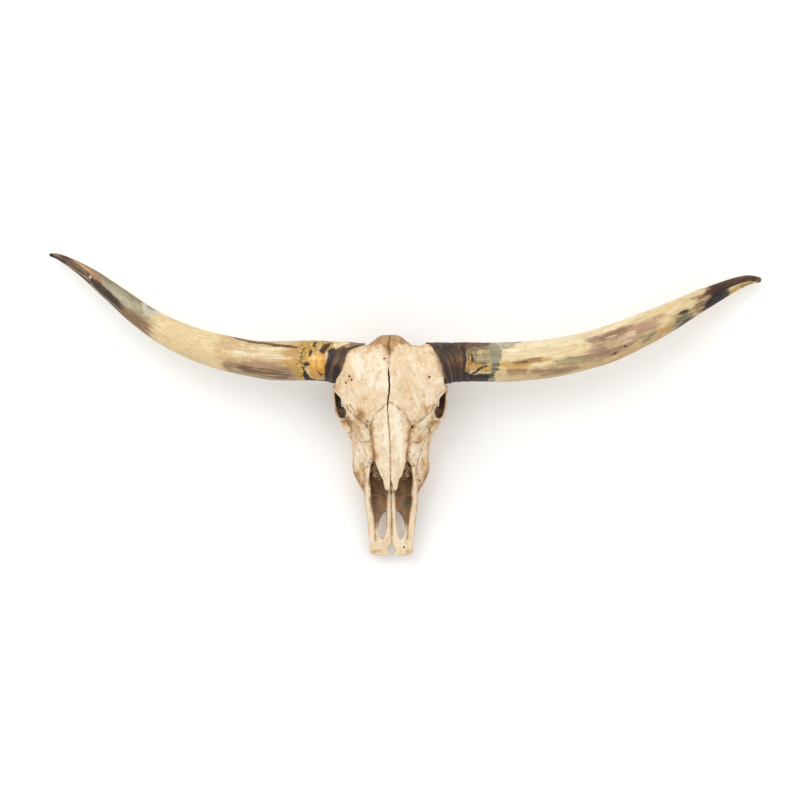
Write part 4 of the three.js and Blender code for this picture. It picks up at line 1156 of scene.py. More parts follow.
# Colour patches of each horn, laid on in this order: colour, softness of the border in mm along and
# across the horn, strength, and outline. Each pair of its numbers is a point: the distance out from the
# skull's middle in mm, and the place round the horn, 0 on top, 1 at the back edge, -1 at the front one.
hornPatches = {
    "right": [
        ["straw", 16, 16, 0.9, [183, 1.6, 185, -1.6, 343, -1.6, 374, 0, 375, 1.6]],
        ["ochre", 9, 9, 0.8, [233, 0.4, 188, 0.57, 189, -0.85, 227, -0.39]],
        # This pale band along the top is a painted highlight.
        ["pale", 28.8, 9, 0.7, [338, 0.37, 237, 0.36, 232, 0.11, 330, 0.08]],
        ["violet", 6, 6, 0.78, [365, -0.31, 327, -0.2, 281, -0.05, 236, -0.11, 215, -0.27, 202, -0.67, 202,
         -1.56, 275, -1.6, 328, -1.4]],
        ["umber", 11.2, 3.5, 0.62, [325, -0.35, 279, -0.33, 232, -0.36, 219, -0.47, 227, -0.68, 278, -0.66,
         310, -0.64]],
        ["umber", 1.3, 1.3, 0.96, [379, 1, 337, 0.87, 280, 0.79, 251, 0.64, 229, 0.6, 199, 0.5, 199, 0.44,
         224, 0.46, 251, 0.5, 282, 0.63, 336, 0.7]],
        ["gold", 4, 4, 0.95, [191, 1.39, 98, 1.6, 105, 1.05, 113, 0.46, 127, 0.37, 142, 0.26, 173, 0.21,
         182, -0.18, 178, -0.86, 196, -0.84, 200, -0.17, 197, 0.36]],
        # These pale spots in the gold band are painted highlights.
        ["pale", 2, 2, 0.8, [131, 0.76, 119, 1.06, 113, 0.73, 120, 0.46, 129, 0.4]],
        ["umber", 0.8, 0.8, 0.85, [193, 0.36, 188, 0.44, 186, 0.39, 191, 0.28, 192, 0.08, 191, -0.08, 194,
         -0.04, 195, 0.15]],
        ["amber", 4, 4, 1, [175, 0.14, 166, 0.24, 144, 0.22, 136, -0.15, 135, -0.63, 166, -0.87, 182,
         -0.32]],
        ["honey", 5, 5, 0.62, [171, 0.11, 150, 0.12, 148, -0.24, 171, -0.25]],
        ["ochre", 3, 3, 0.6, [178, -0.39, 136, -0.44, 134, -0.76, 171, -0.87]],
        ["dark", 3.5, 3.5, 1, [143, 0.33, 134, 0.47, 119, 0.42, 100, 0.62, 90, 0.78, 84, -0.01, 87, -1.26,
         129, -1.5, 139, -0.54, 141, -0.16, 139, 0.1]],
        # This lighter patch on the dark base is a painted highlight.
        ["umber", 7, 7, 0.8, [129, 0.33, 104, 0.53, 101, 0.23, 108, -0.14, 125, 0]],
        ["bistre", 1.6, 1.6, 1, [153, 0.43, 147, 0.6, 137, 0.77, 135, 0.56, 141, 0.33, 148, 0.2, 153,
         0.28]],
        ["bistre", 1.2, 1.2, 1, [178, 0.28, 172, 0.37, 169, 0.31, 173, 0.12, 178, 0.14]],
        ["bistre", 1.2, 1.2, 1, [184, -0.05, 178, -0.02, 176, -0.11, 180, -0.2, 184, -0.18]],
        ["bistre", 1.2, 1.2, 0.95, [173, 0.49, 164, 0.73, 158, 0.74, 166, 0.46]],
        ["black", 0.9, 0.9, 1, [160, -0.37, 152, -0.43, 142, -0.48, 141, -0.56, 151, -0.54, 159, -0.43]],
        ["black", 1.3, 1.3, 1, [189, -0.19, 186, -0.23, 182, -0.45, 174, -0.68, 156, -0.86, 108, -0.68, 104,
         -1.6, 186, -1.6, 188, -0.47]],
        ["grey", 2.5, 2.5, 0.9, [120, 1.52, 84, 1.41, 84, 0.81, 91, 0.58, 101, 0.43, 113, 0.6]],
        ["olive", 32, 10, 0.97, [565, 1.17, 538, 0.43, 525, 0.08, 521, -0.46, 525, -1.6, 586, -1.6, 659,
         -1.6, 699, -1.56, 712, 1.6, 641, 1.6]],
        ["moss", 12.8, 4, 0.7, [675, 1.6, 615, 1.31, 565, 1.17, 550, 0.57, 578, 0.13, 631, -0.15, 663,
         0.06]],
        ["grey", 6, 2, 0.7, [689, 1.46, 621, 1.49, 568, 1.43, 565, 1.17, 618, 0.66, 684, 0.4]],
        ["ash", 12.8, 4, 0.78, [639, 0.25, 612, 0.52, 568, 0.48, 551, 0.29, 558, 0.01, 594, -0.14, 625,
         -0.23]],
        ["ash", 6.4, 2, 0.75, [659, 0.3, 632, 0.38, 626, 0.17, 651, 0.05]],
        ["brown", 12.8, 4, 0.82, [600, -0.53, 580, -0.19, 538, -0.03, 520, -0.12, 520, -0.7, 529, -1.52,
         576, -1.6]],
        ["soot", 9, 3, 0.97, [685, 0.53, 672, 0.4, 650, 0.13, 630, 0.02, 611, -0.02, 593, -0.11, 580, -0.46,
         602, -0.59, 624, -0.6, 643, -0.57, 666, -0.31, 684, -0.02]],
        ["soot", 6, 2, 0.72, [633, -0.65, 603, -0.67, 564, -0.83, 561, -1.46, 603, -1.58, 636, -1.39]],
        ["mist", 3, 3, 0.95, [561, 0.57, 556, 1.04, 538, 1.22, 515, 1.06, 523, 0.5, 533, 0.21, 545, 0.24]],
        ["grey", 4.5, 1.5, 0.62, [552, 0.73, 535, 1.11, 525, 0.85, 542, 0.53]],
        ["violet", 9.6, 3, 1, [766, 1.6, 743, 1.6, 710, 1.6, 681, 1.42, 655, -1.54, 698, -1.6, 763, -1.6]],
        ["bistre", 7.2, 2.4, 0.8, [731, -1.51, 708, -0.7, 679, -0.5, 655, -0.43, 645, -1.5, 675, -1.6, 715,
         -1.6]],
        ["copper", 9.6, 3, 1, [751, 1.6, 728, 1.6, 696, 1.09, 661, 0.66, 642, 0.47, 639, 0.04, 656, -0.04,
         680, 0.01, 712, -0.07, 743, -0.72]],
        # This straw streak on the copper tip is a painted highlight.
        ["straw", 7.7, 2.4, 0.74, [707, 0.52, 685, 0.46, 672, 0.3, 676, 0.08, 698, -0, 713, 0.13]],
        ["violet", 8, 2.5, 0.85, [748, 1.6, 710, 1.6, 652, 1.6, 640, 1.26, 658, 1, 687, 1.06, 726, 1.33,
         750, 1.6]],
        ["soot", 6.6, 2.2, 0.8, [738, 0.32, 725, 0.84, 706, 0.42, 687, 0.27, 666, 0.13, 663, -0.22, 685,
         -0.39, 709, -0.4, 728, -0.43]],
        ["soot", 5.4, 1.8, 0.9, [758, -0.05, 744, 0.12, 728, -0.05, 714, -0.39, 731, -1.51, 756, -1.6]],
        ["brown", 5.1, 1.6, 0.7, [711, -1.32, 681, -1.06, 653, -0.6, 639, -0.74, 640, -1.49, 666, -1.59,
         698, -1.6]],
        ["mist", 1, 1, 0.9, [666, -0.15, 663, 0.06, 658, -0.04, 660, -0.24]],
        ["brown", 8, 2.5, 0.8, [760, 1.6, 741, 1.6, 732, 1.6, 740, 0.13, 756, 0.45]],
        ["black", 1.4, 1.4, 1, [766, 1.6, 753, 1.6, 744, -1.6, 766, -1.6]],
    ],
    "left": [
        ["pale", 38.4, 12, 0.8, [242, 0.82, 383, 1.15, 575, 1.6, 572, 0.55, 469, 0.38, 376, 0.23, 242,
         0.13]],
        ["straw", 22.4, 7, 0.85, [241, -0.27, 459, -0.17, 656, -0.48, 660, -1.6, 441, -1.6, 360, -1.6, 240,
         -1.6]],
        ["pale", 12.8, 4, 0.6, [223, -0.55, 266, -0.55, 315, -0.65, 314, -1.37, 265, -1.41, 223, -1.15]],
        ["ochre", 16, 5, 0.85, [235, -0, 268, 0.03, 308, 0.06, 343, 0, 342, -0.1, 306, -0.18, 271, -0.23,
         237, -0.2]],
        ["brown", 8, 2.5, 0.62, [268, 0.02, 321, 0.06, 324, -0.04, 276, -0.08]],
        ["umber", 3.8, 1.2, 0.8, [286, 0.02, 294, 0.01, 294, -0.07, 287, -0.06]],
        ["pale", 9.6, 3, 0.8, [307, -0.13, 355, -0.06, 354, -0.14, 310, -0.22]],
        ["moss", 9.6, 3, 0.72, [355, -0.09, 394, -0.1, 433, -0.17, 430, -0.33, 391, -0.35, 357, -0.31]],
        ["violet", 25.6, 8, 0.66, [441, 0.09, 518, 0.28, 591, 0.24, 580, -0.35, 521, -0.36, 446, -0.46]],
        ["brown", 8, 2.5, 0.62, [252, -0.28, 293, -0.27, 292, -0.42, 258, -0.45]],
        ["violet", 9.6, 3, 0.74, [297, -0.34, 336, -0.31, 369, -0.34, 403, -0.37, 405, -0.62, 367, -0.71,
         326, -0.62]],
        ["violet", 12.8, 4, 0.74, [432, 0.36, 469, 0.4, 521, 0.44, 537, 0.31, 528, 0.12, 490, 0.06, 441,
         0.06]],
        ["brown", 6.4, 2, 0.6, [459, 0.33, 519, 0.36, 521, 0.25, 466, 0.18]],
        ["pale", 3.8, 1.2, 0.42, [465, 0.15, 532, 0.1, 531, -0.1, 469, -0.11]],
        ["violet", 12.8, 4, 0.66, [415, -0.18, 459, -0.17, 499, -0.14, 495, -0.36, 454, -0.47, 415,
         -0.51]],
        ["soot", 0.9, 0.9, 0.66, [480, -0.33, 486, -0.35, 484, -0.45, 479, -0.44]],
        ["soot", 0.9, 0.9, 0.72, [503, -0.22, 508, -0.23, 507, -0.33, 502, -0.31]],
        ["moss", 9.6, 3, 0.74, [540, -0.22, 567, -0.27, 567, -0.51, 542, -0.55]],
        ["ochre", 9.6, 3, 0.72, [573, -0.23, 609, -0.28, 606, -0.65, 573, -0.63]],
        ["ochre", 9.6, 3, 0.62, [443, -0.74, 494, -0.69, 538, -0.7, 583, -0.76, 582, -1.33, 533, -1.25, 448,
         -1.28]],
        ["moss", 12.8, 4, 0.6, [615, 0.04, 652, 0.05, 666, -0.39, 654, -1.13, 626, -1.13, 609, -0.4]],
        ["grey", 6, 2, 0.85, [618, -0.14, 643, -0.14, 662, -0.38, 657, -0.6, 636, -0.5, 617, -0.41]],
        ["soot", 4.8, 1.6, 0.97, [629, 0.01, 643, 0.03, 657, -0.04, 654, -0.19, 638, -0.16, 628, -0.13]],
        ["soot", 4.8, 1.6, 0.97, [621, -0.63, 636, -0.52, 652, -0.56, 659, -0.7, 650, -1.05, 631, -1.05,
         623, -1.01]],
        ["soot", 6, 2, 0.56, [668, 0.47, 687, 0.38, 686, 0.2, 670, 0.27]],
        ["brown", 12.8, 4, 0.8, [665, -0.05, 690, 0.32, 725, 0.45, 708, -0.44, 680, -0.89, 663, -0.44]],
        ["brown", 9.6, 3, 0.7, [675, 1.35, 702, 1.55, 728, 1.6, 725, 1.2, 697, 0.71]],
        ["bistre", 10.2, 3.4, 1, [706, 0.6, 734, 1.38, 776, 1.6, 807, 1.6, 834, 1.6, 820, -0.44, 789, -0.23,
         757, -0.13, 732, -0.04, 704, 0.04]],
        ["dark", 10.8, 3.6, 1, [684, -0.31, 702, -0.1, 724, 0.15, 757, -0.01, 750, -1.06, 731, -1.04, 704,
         -1.05, 684, -0.69]],
        ["rust", 6.4, 2, 0.66, [747, 0.59, 798, 1.04, 815, 0.46, 780, 0.16, 752, 0.13]],
        ["gold", 1.2, 1.2, 1, [741, -0.92, 753, -0.29, 777, -0.18, 801, -0.14, 818, -1.06, 805, -1.6, 771,
         -1.6, 741, -1.42]],
        ["brown", 3.8, 1.2, 0.7, [772, -0.2, 806, -0.3, 808, -1.33, 779, -0.84]],
        ["honey", 4.8, 1.5, 0.9, [622, -1.02, 655, -1.08, 689, -1.13, 688, -1.44, 640, -1.6, 620, -1.25]],
        ["umber", 6.4, 2, 0.9, [817, 1.6, 836, 1.6, 836, -1.6, 818, -1.6]],
        ["bistre", 4, 4, 1, [87, 1.6, 175, 1.5, 173, 0.41, 176, -0.34, 174, -1.6, 87, -1.41]],
        ["umber", 7, 7, 0.72, [126, 0.37, 144, 0.42, 160, 0.33, 160, 0.03, 149, -0.13, 131, -0.04, 122,
         0.16]],
        ["dark", 5, 5, 0.8, [111, 1.03, 128, 0.91, 134, 0.35, 125, 0.03, 113, 0.39]],
        ["umber", 5, 5, 0.85, [163, 1.49, 220, 1.51, 222, 0.67, 206, 0.51, 184, 0.5, 167, 0.33, 163,
         0.41]],
        ["moss", 4, 4, 1, [163, 0.3, 175, 0.45, 197, 0.55, 220, 0.64, 219, -0.03, 206, -0.13, 184, -0.13,
         164, -0.13]],
        ["straw", 6, 6, 0.6, [180, 0.3, 201, 0.46, 217, 0.38, 215, 0.1, 193, -0]],
        ["ochre", 4, 4, 0.82, [163, 0.19, 175, 0.23, 182, -0, 198, -0.1, 210, -0.03, 218, -0.06, 217, -0.34,
         198, -0.3, 180, -0.38, 163, -0.36]],
        ["gold", 2.5, 2.5, 0.9, [184, -0.31, 198, -0.18, 217, -0.13, 217, -0.32, 198, -0.36]],
        ["bistre", 1.6, 1.6, 0.85, [177, 0.26, 181, 0.28, 183, 0.03, 177, -0.02]],
        ["bistre", 1.2, 1.2, 0.75, [168, 0.19, 171, 0.19, 172, -0.07, 169, -0.07]],
        ["dark", 4, 4, 1, [108, -0.22, 134, -0.23, 162, -0.32, 184, -0.45, 217, -0.37, 225, -0.61, 227,
         -1.6, 102, -1.6]],
        # This lighter grey-brown patch low on the dark base is a painted sheen.
        ["soot", 4, 4, 0.72, [120, -0.29, 143, -0.28, 162, -0.34, 162, -0.51, 128, -0.55]],
        ["black", 1, 1, 0.85, [160, 0.37, 162, 0.41, 165, 0.06, 163, -0.2, 161, -0.2, 160, 0.12]],
        ["black", 0.8, 0.8, 1, [162, -0.5, 173, -0.51, 187, -0.43, 194, -0.3, 201, -0.2, 212, -0.14, 210,
         -0.1, 199, -0.14, 190, -0.23, 183, -0.36, 171, -0.42, 162, -0.41]],
        ["slate", 2.5, 2.5, 0.97, [216, 1.51, 229, 1.02, 241, 0.5, 242, 0.16, 236, 0.03, 239, -0.13, 234,
         -0.27, 228, -0.34, 229, -0.74, 216, -1.6, 215, -0.74, 217, 0]],
        ["soot", 5.4, 1.8, 0.54, [219, -0.08, 226, -0.05, 237, -0.06, 239, -0.17, 232, -0.27, 221, -0.25]],
        ["soot", 6, 2, 0.74, [216, -0.39, 228, -0.34, 229, -0.44, 221, -0.64, 215, -0.61]],
        ["soot", 3, 1, 0.9, [267, 1.23, 291, 1.22, 288, 0.79, 267, 0.78]],
        ["ash", 6.4, 2, 0.8, [240, 1.14, 279, 1.09, 271, 0.52, 242, 0.45]],
    ],
}
hornColours = {
    "cream": [239, 213, 163], "pale": [250, 231, 190], "straw": [214, 182, 134], "ochre": [204, 160, 90],
    "gold": [218, 176, 92], "honey": [246, 198, 112], "amber": [240, 168, 66], "copper": [186, 142, 108],
    "rust": [104, 70, 54], "violet": [166, 134, 108], "brown": [146, 114, 86], "umber": [108, 80, 58],
    "bistre": [80, 56, 42], "dark": [54, 40, 33], "soot": [80, 66, 55], "black": [22, 16, 13],
    "grey": [134, 125, 98], "slate": [152, 146, 120], "mist": [212, 208, 192], "olive": [160, 148, 116],
    "moss": [150, 138, 102], "ash": [178, 168, 142],
}
# How far each colour is crackled, where it isn't 0.2.
hornCrackle = {"gold": 0.9, "dark": 0.5, "bistre": 0.6, "moss": 0.7, "umber": 0.6, "amber": 0.12,
               "honey": 0.1}


# Marks over the patches: stretch along the horn, noises, where they start and are full, strength, colour.
hornMarks = [
    [0.8, [(1, 7, 61), (0.6, 3, 62)], (0.15, 0.7), 0.26, "ochre"],
    [0.8, [(1, 8, 63), (0.6, 3.2, 64)], (0.2, 0.8), 0.4, "pale"],
]
hornQuarter = 62  # mm on the patches' plan for a quarter of the way round


def keratin(name):
    # Linear colour of a horn patch, less what the polish of the horn reflects.
    return np.array([min(1.0, max(0.004, value - 0.022) / 1.22) for value in paint(*hornColours[name])[:3]])


def dye(tint, share, colour):
    # Moves the tint by its share of the way to the colour.
    tint += share[:, None] * (keratin(colour) - tint)


def paintHorn(name, reach, side, top, spots, growth, s):
    # Lays the patches over a cream ground. Streaks along the horn break up their borders.
    around = np.arctan2(side, top) / (math.pi / 2)
    long, broad = spots * (0.10, 1, 1), spots * (0.3, 1, 1)
    base = 1 - smoothStep(60, 120, s)
    streaks = noises(long, (0.6, 3.2, 51), (0.5, 8, 52)) + 0.4 * noise(spots * (0.05, 1, 1), 1.8, 53)
    streaks = streaks * (1 - 0.75 * base) + 0.5 * growth * base
    clouds = noises(broad, (1, 16, 54), (0.6, 7, 55)) + 0.4 * noise(spots * (0.6, 1, 1), 3, 56)
    jitter = [noises(spots, (3.2, 12, seed), (1.6, 4.5, seed + 1)) for seed in (57, 59)]
    # Down the sides and below, a patch's ends fray into long fibres.
    fray = 50 * smoothStep(0.75, 1.3, np.abs(around)) * (1 - base) * noises(long, (1, 3.2, 58), (1, 9, 49))
    plan = np.stack([reach + jitter[0] + fray, around * hornQuarter + 0.7 * jitter[1]], 1)
    tint = np.tile(keratin("cream"), (len(s), 1))
    crackled = 0.2 * np.ones(len(s))
    for colour, lengthwise, crosswise, strength, outline in hornPatches[name]:
        scale = np.array([1 / lengthwise, 1 / crosswise])
        inside = insideBy(plan * scale, np.reshape(outline, (-1, 2)) * (1, hornQuarter) * scale)
        # A weaker patch breaks up into streaks and spots.
        share = smoothStep(-0.9, 0.9, np.minimum(inside, 2.8 * strength - 1.6) + streaks + 0.4 * clouds)
        dye(tint, share, colour)
        crackled += share * (hornCrackle.get(colour, 0.2) - crackled)
    light = smoothStep(0.12, 0.45, tint[:, 1])
    dark = 1 - light
    for stretch, parts, (start, full), strength, colour in hornMarks:
        marks = smoothStep(start, full, noises(spots * (stretch, 1, 1), *parts))
        dye(tint, strength * marks * light, colour)
    lines = smoothStep(0.35, 0.75, noise(spots * (0.02, 1, 1), 2.0, 65) + 0.4 * clouds)
    dye(tint, 0.13 * lines * light, "brown")
    rings = smoothStep(0.1, 0.6, growth + 0.5 * noise(spots, 4, 66)) * base * dark
    dye(tint, 0.26 * rings, "brown")
    tint *= np.exp((0.07 + 0.22 * dark) * streaks + (0.05 + 0.30 * dark) * clouds)[:, None]
    tint *= (1 - 0.34 * smoothStep(0.15, 0.7, -growth) * base * dark)[:, None]
    dye(tint, 0.8 * np.exp(-(s / 1.6) ** 2), "brown")  # rim of the mouth
    crackled *= 1 - 0.75 * smoothStep(90, 170, s)
    sunk = 1 - smoothStep(0.01, 0.03, tint.sum(1) / 3)
    return np.clip(tint, 0.002, 1), crackled, sunk * light


class Nodes:
    # Short way to make a node, set its values and wire it.
    def __init__(self, tree):
        self.tree = tree

    def add(self, kind, inputs=None, **settings):
        # A node with these settings and inputs.
        node = self.tree.nodes.new(kind)
        for key, value in settings.items():
            setattr(node, key, value)
        self.fill(node, inputs or {})
        return node

    def fill(self, node, inputs):
        # Wires the inputs that are given a socket and sets the others.
        for key, value in inputs.items():
            if isinstance(value, bpy.types.NodeSocket):
                self.tree.links.new(value, node.inputs[key])
            else:
                node.inputs[key].default_value = value

    def math(self, operation, *values):
        # One step of arithmetic on masks and numbers.
        return self.add("ShaderNodeMath", dict(enumerate(values)), operation=operation).outputs[0]

    def times(self, a, b):
        return self.math("MULTIPLY", a, b)

    def plus(self, a, b):
        return self.math("ADD", a, b)

    def minus(self, a, b):
        return self.math("SUBTRACT", a, b)

    def mix(self, share, a, b):
        # The colour at this share of the way from a to b.
        return self.add("ShaderNodeMix", {0: share, 6: a, 7: b}, data_type="RGBA").outputs[2]

    def coats(self, colour, *coats):
        # Lays each colour over those before it, by its mask times its strength.
        for mask, strength, top in coats:
            colour = self.mix(self.times(mask, strength), colour, top)
        return colour

    def fit(self, value, low, high, to=(0.0, 1.0)):
        # Smooth rise from the first number of "to" at low to its second at high.
        return self.add("ShaderNodeMapRange", {0: value, 1: low, 2: high, 3: to[0], 4: to[1]},
                        interpolation_type="SMOOTHSTEP").outputs[0]

    def noise(self, where, scale, detail=4.0, rough=0.55, twist=0.0):
        # Clouds from 0 to 1, about this many to the metre.
        return self.add("ShaderNodeTexNoise", {"Vector": where, "Scale": scale, "Detail": detail,
                                               "Roughness": rough, "Distortion": twist}).outputs["Fac"]

    def stretch(self, where, scale):
        # Three numbers, each times its own scale.
        return self.add("ShaderNodeVectorMath", {0: where, 1: scale}, operation="MULTIPLY").outputs[0]


def newGroup(name, inputs, outputs):
    # A node group with these sockets, and the two nodes at its ends.
    group = bpy.data.node_groups.new(name, "ShaderNodeTree")
    for label, kind, value in inputs:
        socket = group.interface.new_socket(label, in_out="INPUT", socket_type=kind)
        if value is not None:
            socket.default_value = value
    for label, kind in outputs:
        group.interface.new_socket(label, in_out="OUTPUT", socket_type=kind)
    nodes = Nodes(group)
    return group, nodes, nodes.add("NodeGroupInput").outputs, nodes.add("NodeGroupOutput")


def blotchGroup():
    # Patches of two sizes with ragged borders: where the amount is higher, they cover more.
    group, nodes, given, out = newGroup(
        "blotches", [("Vector", "NodeSocketVector", None), ("Scale", "NodeSocketFloat", 20.0),
                     ("Amount", "NodeSocketFloat", 0.5)], [("Mask", "NodeSocketFloat")])
    wide = nodes.noise(given["Vector"], given["Scale"], 6.0, 0.62, 0.4)
    fine = nodes.noise(given["Vector"], nodes.times(given["Scale"], 4.3), 5.0, 0.6)
    mixed = nodes.plus(nodes.times(wide, 0.7), nodes.times(fine, 0.3))
    level = nodes.minus(0.78, nodes.times(given["Amount"], 0.5))
    gap = nodes.minus(mixed, level)
    nodes.tree.links.new(nodes.fit(gap, -0.10, 0.12), out.inputs["Mask"])
    return group


def crackleGroup():
    # Thin lines between the cells of a warped net, broken up by noise.
    group, nodes, given, out = newGroup(
        "crackle", [("Vector", "NodeSocketVector", None), ("Scale", "NodeSocketFloat", 40.0),
                    ("Width", "NodeSocketFloat", 0.03), ("Amount", "NodeSocketFloat", 0.5)],
        [("Mask", "NodeSocketFloat")])
    warp = nodes.add("ShaderNodeTexNoise", {"Vector": given["Vector"], "Detail": 3.0,
                                            "Scale": nodes.times(given["Scale"], 1.6)})
    push = nodes.add("ShaderNodeVectorMath", {0: warp.outputs["Color"], 1: (0.5, 0.5, 0.5)},
                     operation="SUBTRACT")
    room = nodes.math("DIVIDE", 0.9, given["Scale"])
    moved = nodes.add("ShaderNodeVectorMath", {0: push.outputs[0], "Scale": room}, operation="SCALE")
    place = nodes.add("ShaderNodeVectorMath", {0: given["Vector"], 1: moved.outputs[0]}, operation="ADD")
    net = nodes.add("ShaderNodeTexVoronoi", {"Vector": place.outputs[0], "Scale": given["Scale"]},
                    feature="DISTANCE_TO_EDGE")
    line = nodes.minus(1.0, nodes.fit(net.outputs["Distance"], 0.0, given["Width"]))
    patchy = nodes.noise(given["Vector"], nodes.times(given["Scale"], 0.45), 3.0)
    level = nodes.minus(0.75, nodes.times(given["Amount"], 0.5))
    share = nodes.fit(nodes.minus(patchy, level), -0.06, 0.08)
    nodes.tree.links.new(nodes.times(line, share), out.inputs["Mask"])
    return group


def grainGroup():
    # Fine roughness of the surface as a height, and pores that sit in patches.
    group, nodes, given, out = newGroup(
        "grain", [("Vector", "NodeSocketVector", None), ("Scale", "NodeSocketFloat", 500.0),
                  ("Pores", "NodeSocketFloat", 0.4)],
        [("Height", "NodeSocketFloat"), ("Pores", "NodeSocketFloat")])
    fine = nodes.noise(given["Vector"], given["Scale"], 5.0, 0.65)
    cells = nodes.add("ShaderNodeTexVoronoi", {"Vector": given["Vector"], "Randomness": 1.0,
                                               "Scale": nodes.times(given["Scale"], 0.75)})
    hole = nodes.minus(1.0, nodes.fit(cells.outputs["Distance"], 0.08, 0.34))
    where = nodes.noise(given["Vector"], nodes.times(given["Scale"], 0.09), 4.0, 0.6)
    level = nodes.minus(0.82, nodes.times(given["Pores"], 0.5))
    pores = nodes.times(hole, nodes.fit(nodes.minus(where, level), -0.05, 0.1))
    nodes.tree.links.new(nodes.minus(fine, nodes.times(pores, 1.2)), out.inputs["Height"])
    nodes.tree.links.new(pores, out.inputs["Pores"])
    return group


def newMaterial(name):
    # An empty material, and the nodes that fill it.
    material = bpy.data.materials.new(name)
    material.use_nodes = True
    material.node_tree.nodes.clear()
    return material, Nodes(material.node_tree)


def useGroup(nodes, group, **inputs):
    # One use of a node group, with its inputs by name.
    node = nodes.add("ShaderNodeGroup", node_tree=group)
    nodes.fill(node, inputs)
    return node.outputs


def finishMaterial(nodes, colour, rough, height, strength, distance, specular):
    # Bump from the height, then one shader from colour, roughness and shine.
    bump = nodes.add("ShaderNodeBump", {"Height": height, "Strength": strength, "Distance": distance})
    shader = nodes.add("ShaderNodeBsdfPrincipled", {
        "Base Color": colour, "Roughness": rough, "Normal": bump.outputs[0], "Specular IOR Level": specular})
    nodes.add("ShaderNodeOutputMaterial", {"Surface": shader.outputs[0]})


boneColours = {
    "white": paint(249, 235, 211), "pale": paint(243, 224, 193), "cream": paint(236, 212, 175),
    "tan": paint(200, 157, 104), "brown": paint(136, 94, 54), "umber": paint(72, 54, 38),
    # The darkest colour here, near black, is painted shade for the places that bones hide most.
    "deepShade": paint(44, 30, 19), "warm": paint(228, 194, 149), "tooth": paint(226, 208, 176),
}


def makeBoneMaterial():
    # Cream bone under coats of bleach, stains, rubbing and grime, and of painted shade and highlight, which
    # the meshes' masks place.
    material, nodes = newMaterial("dryBone")
    c = boneColours
    where = nodes.add("ShaderNodeTexCoord").outputs["Object"]
    shadeAndWear = nodes.add("ShaderNodeAttribute", attribute_name="shadeAndWear")
    sky, relief, seam = nodes.add("ShaderNodeSeparateColor", {0: shadeAndWear.outputs["Color"]}).outputs
    marks = nodes.add("ShaderNodeAttribute", attribute_name="dirtAndShade")
    socket, nose, stainAndShade = nodes.add("ShaderNodeSeparateColor", {0: marks.outputs["Color"]}).outputs
    tooth, pits = shadeAndWear.outputs["Alpha"], marks.outputs["Alpha"]
    lengthwise = nodes.stretch(where, (1.0, 0.55, 1.0))
    patches = useGroup(nodes, blotches, Vector=where, Scale=19.0, Amount=0.50)["Mask"]
    mottle = useGroup(nodes, blotches, Vector=lengthwise, Scale=85.0, Amount=0.50)["Mask"]
    flecks = useGroup(nodes, blotches, Vector=lengthwise, Scale=230.0, Amount=0.46)["Mask"]
    cracks = useGroup(nodes, crackle, Vector=lengthwise, Scale=42.0, Width=0.025, Amount=0.34)["Mask"]
    fine = useGroup(nodes, grain, Vector=where, Scale=620.0, Pores=0.5)
    # Bleached places, stained ones and those of painted shade have borders that the mottling breaks.
    broken = nodes.plus(stainAndShade, nodes.times(nodes.minus(mottle, 0.4), 0.16))
    broken = nodes.plus(broken, nodes.times(nodes.minus(flecks, 0.4), 0.10))
    edge = nodes.times(nodes.fit(relief, 0.60, 0.80), nodes.fit(broken, 0.98, 0.66))
    openSky = nodes.plus(sky, nodes.times(nodes.minus(nodes.noise(where, 60.0, 4.0), 0.5), 0.2))
    ragged = nodes.times(nodes.fit(seam, 0.35, 0.95),
                         nodes.fit(nodes.noise(where, 90.0, 3.0), 0.34, 0.60, (0.15, 1.0)))
    floorMix = nodes.mix(nodes.fit(nodes.noise(lengthwise, 70.0, 4.0), 0.32, 0.62), c["umber"], c["brown"])
    bowlMix = nodes.mix(nodes.fit(nodes.noise(where, 90.0, 4.0), 0.46, 0.82), c["umber"], c["brown"])
    ground = nodes.mix(nodes.fit(nodes.noise(where, 11.0, 3.0), 0.35, 0.65), c["cream"], c["pale"])
    colour = nodes.coats(
        ground, (patches, 0.42, c["warm"]), (mottle, 0.34, c["tan"]), (flecks, 0.26, c["tan"]),
        (nodes.fit(broken, 0.46, 0.22), 0.85, c["white"]), (nodes.fit(broken, 0.54, 0.86), 0.85, c["tan"]),
        (nodes.fit(broken, 0.78, 1.08), 0.75, c["brown"]),
        # Ridges are painted paler, a painted highlight, and grooves brown, painted shade as well as grime.
        (edge, 0.45, c["pale"]), (nodes.fit(relief, 0.47, 0.16), 0.85, c["brown"]),
        # Where bones hide the sky the colour goes tan, brown and, on the next line, near black: painted
        # shade.
        (nodes.fit(openSky, 0.84, 0.55), 0.5, c["tan"]), (nodes.fit(openSky, 0.60, 0.28), 0.85, c["brown"]),
        (nodes.fit(sky, 0.30, 0.08), 0.9, c["deepShade"]), (ragged, 0.6, c["brown"]), (cracks, 0.6, c["brown"]),
        # The nose's floor and the eye sockets are painted umber and brown: painted shade, with grime on the
        # nose's floor.
        (fine["Pores"], 0.45, c["brown"]), (nose, 0.88, floorMix), (socket, 0.97, bowlMix),
        # Pits umber: painted shade in the small holes, and the dark joint of the long suture.
        (nodes.fit(pits, 0.12, 0.75), 0.9, c["umber"]))
    enamel = nodes.mix(nodes.fit(nodes.noise(nodes.stretch(where, (1.0, 1.0, 0.2)), 400.0), 0.4, 0.7),
                       c["tooth"], c["brown"])
    colour = nodes.mix(tooth, colour, enamel)
    colour = nodes.stretch(colour, (0.91, 0.91, 0.91))
    rough = nodes.fit(nodes.noise(where, 40.0), 0.3, 0.7, (0.5, 0.72))
    height = nodes.minus(fine["Height"], nodes.times(cracks, 1.6))
    finishMaterial(nodes, colour, rough, height, 0.45, 0.0006, 0.3)
    return material


hornDirt = {"cracks": (0.012, 0.008, 0.006, 1.0), "pores": (0.12, 0.07, 0.04, 1.0)}


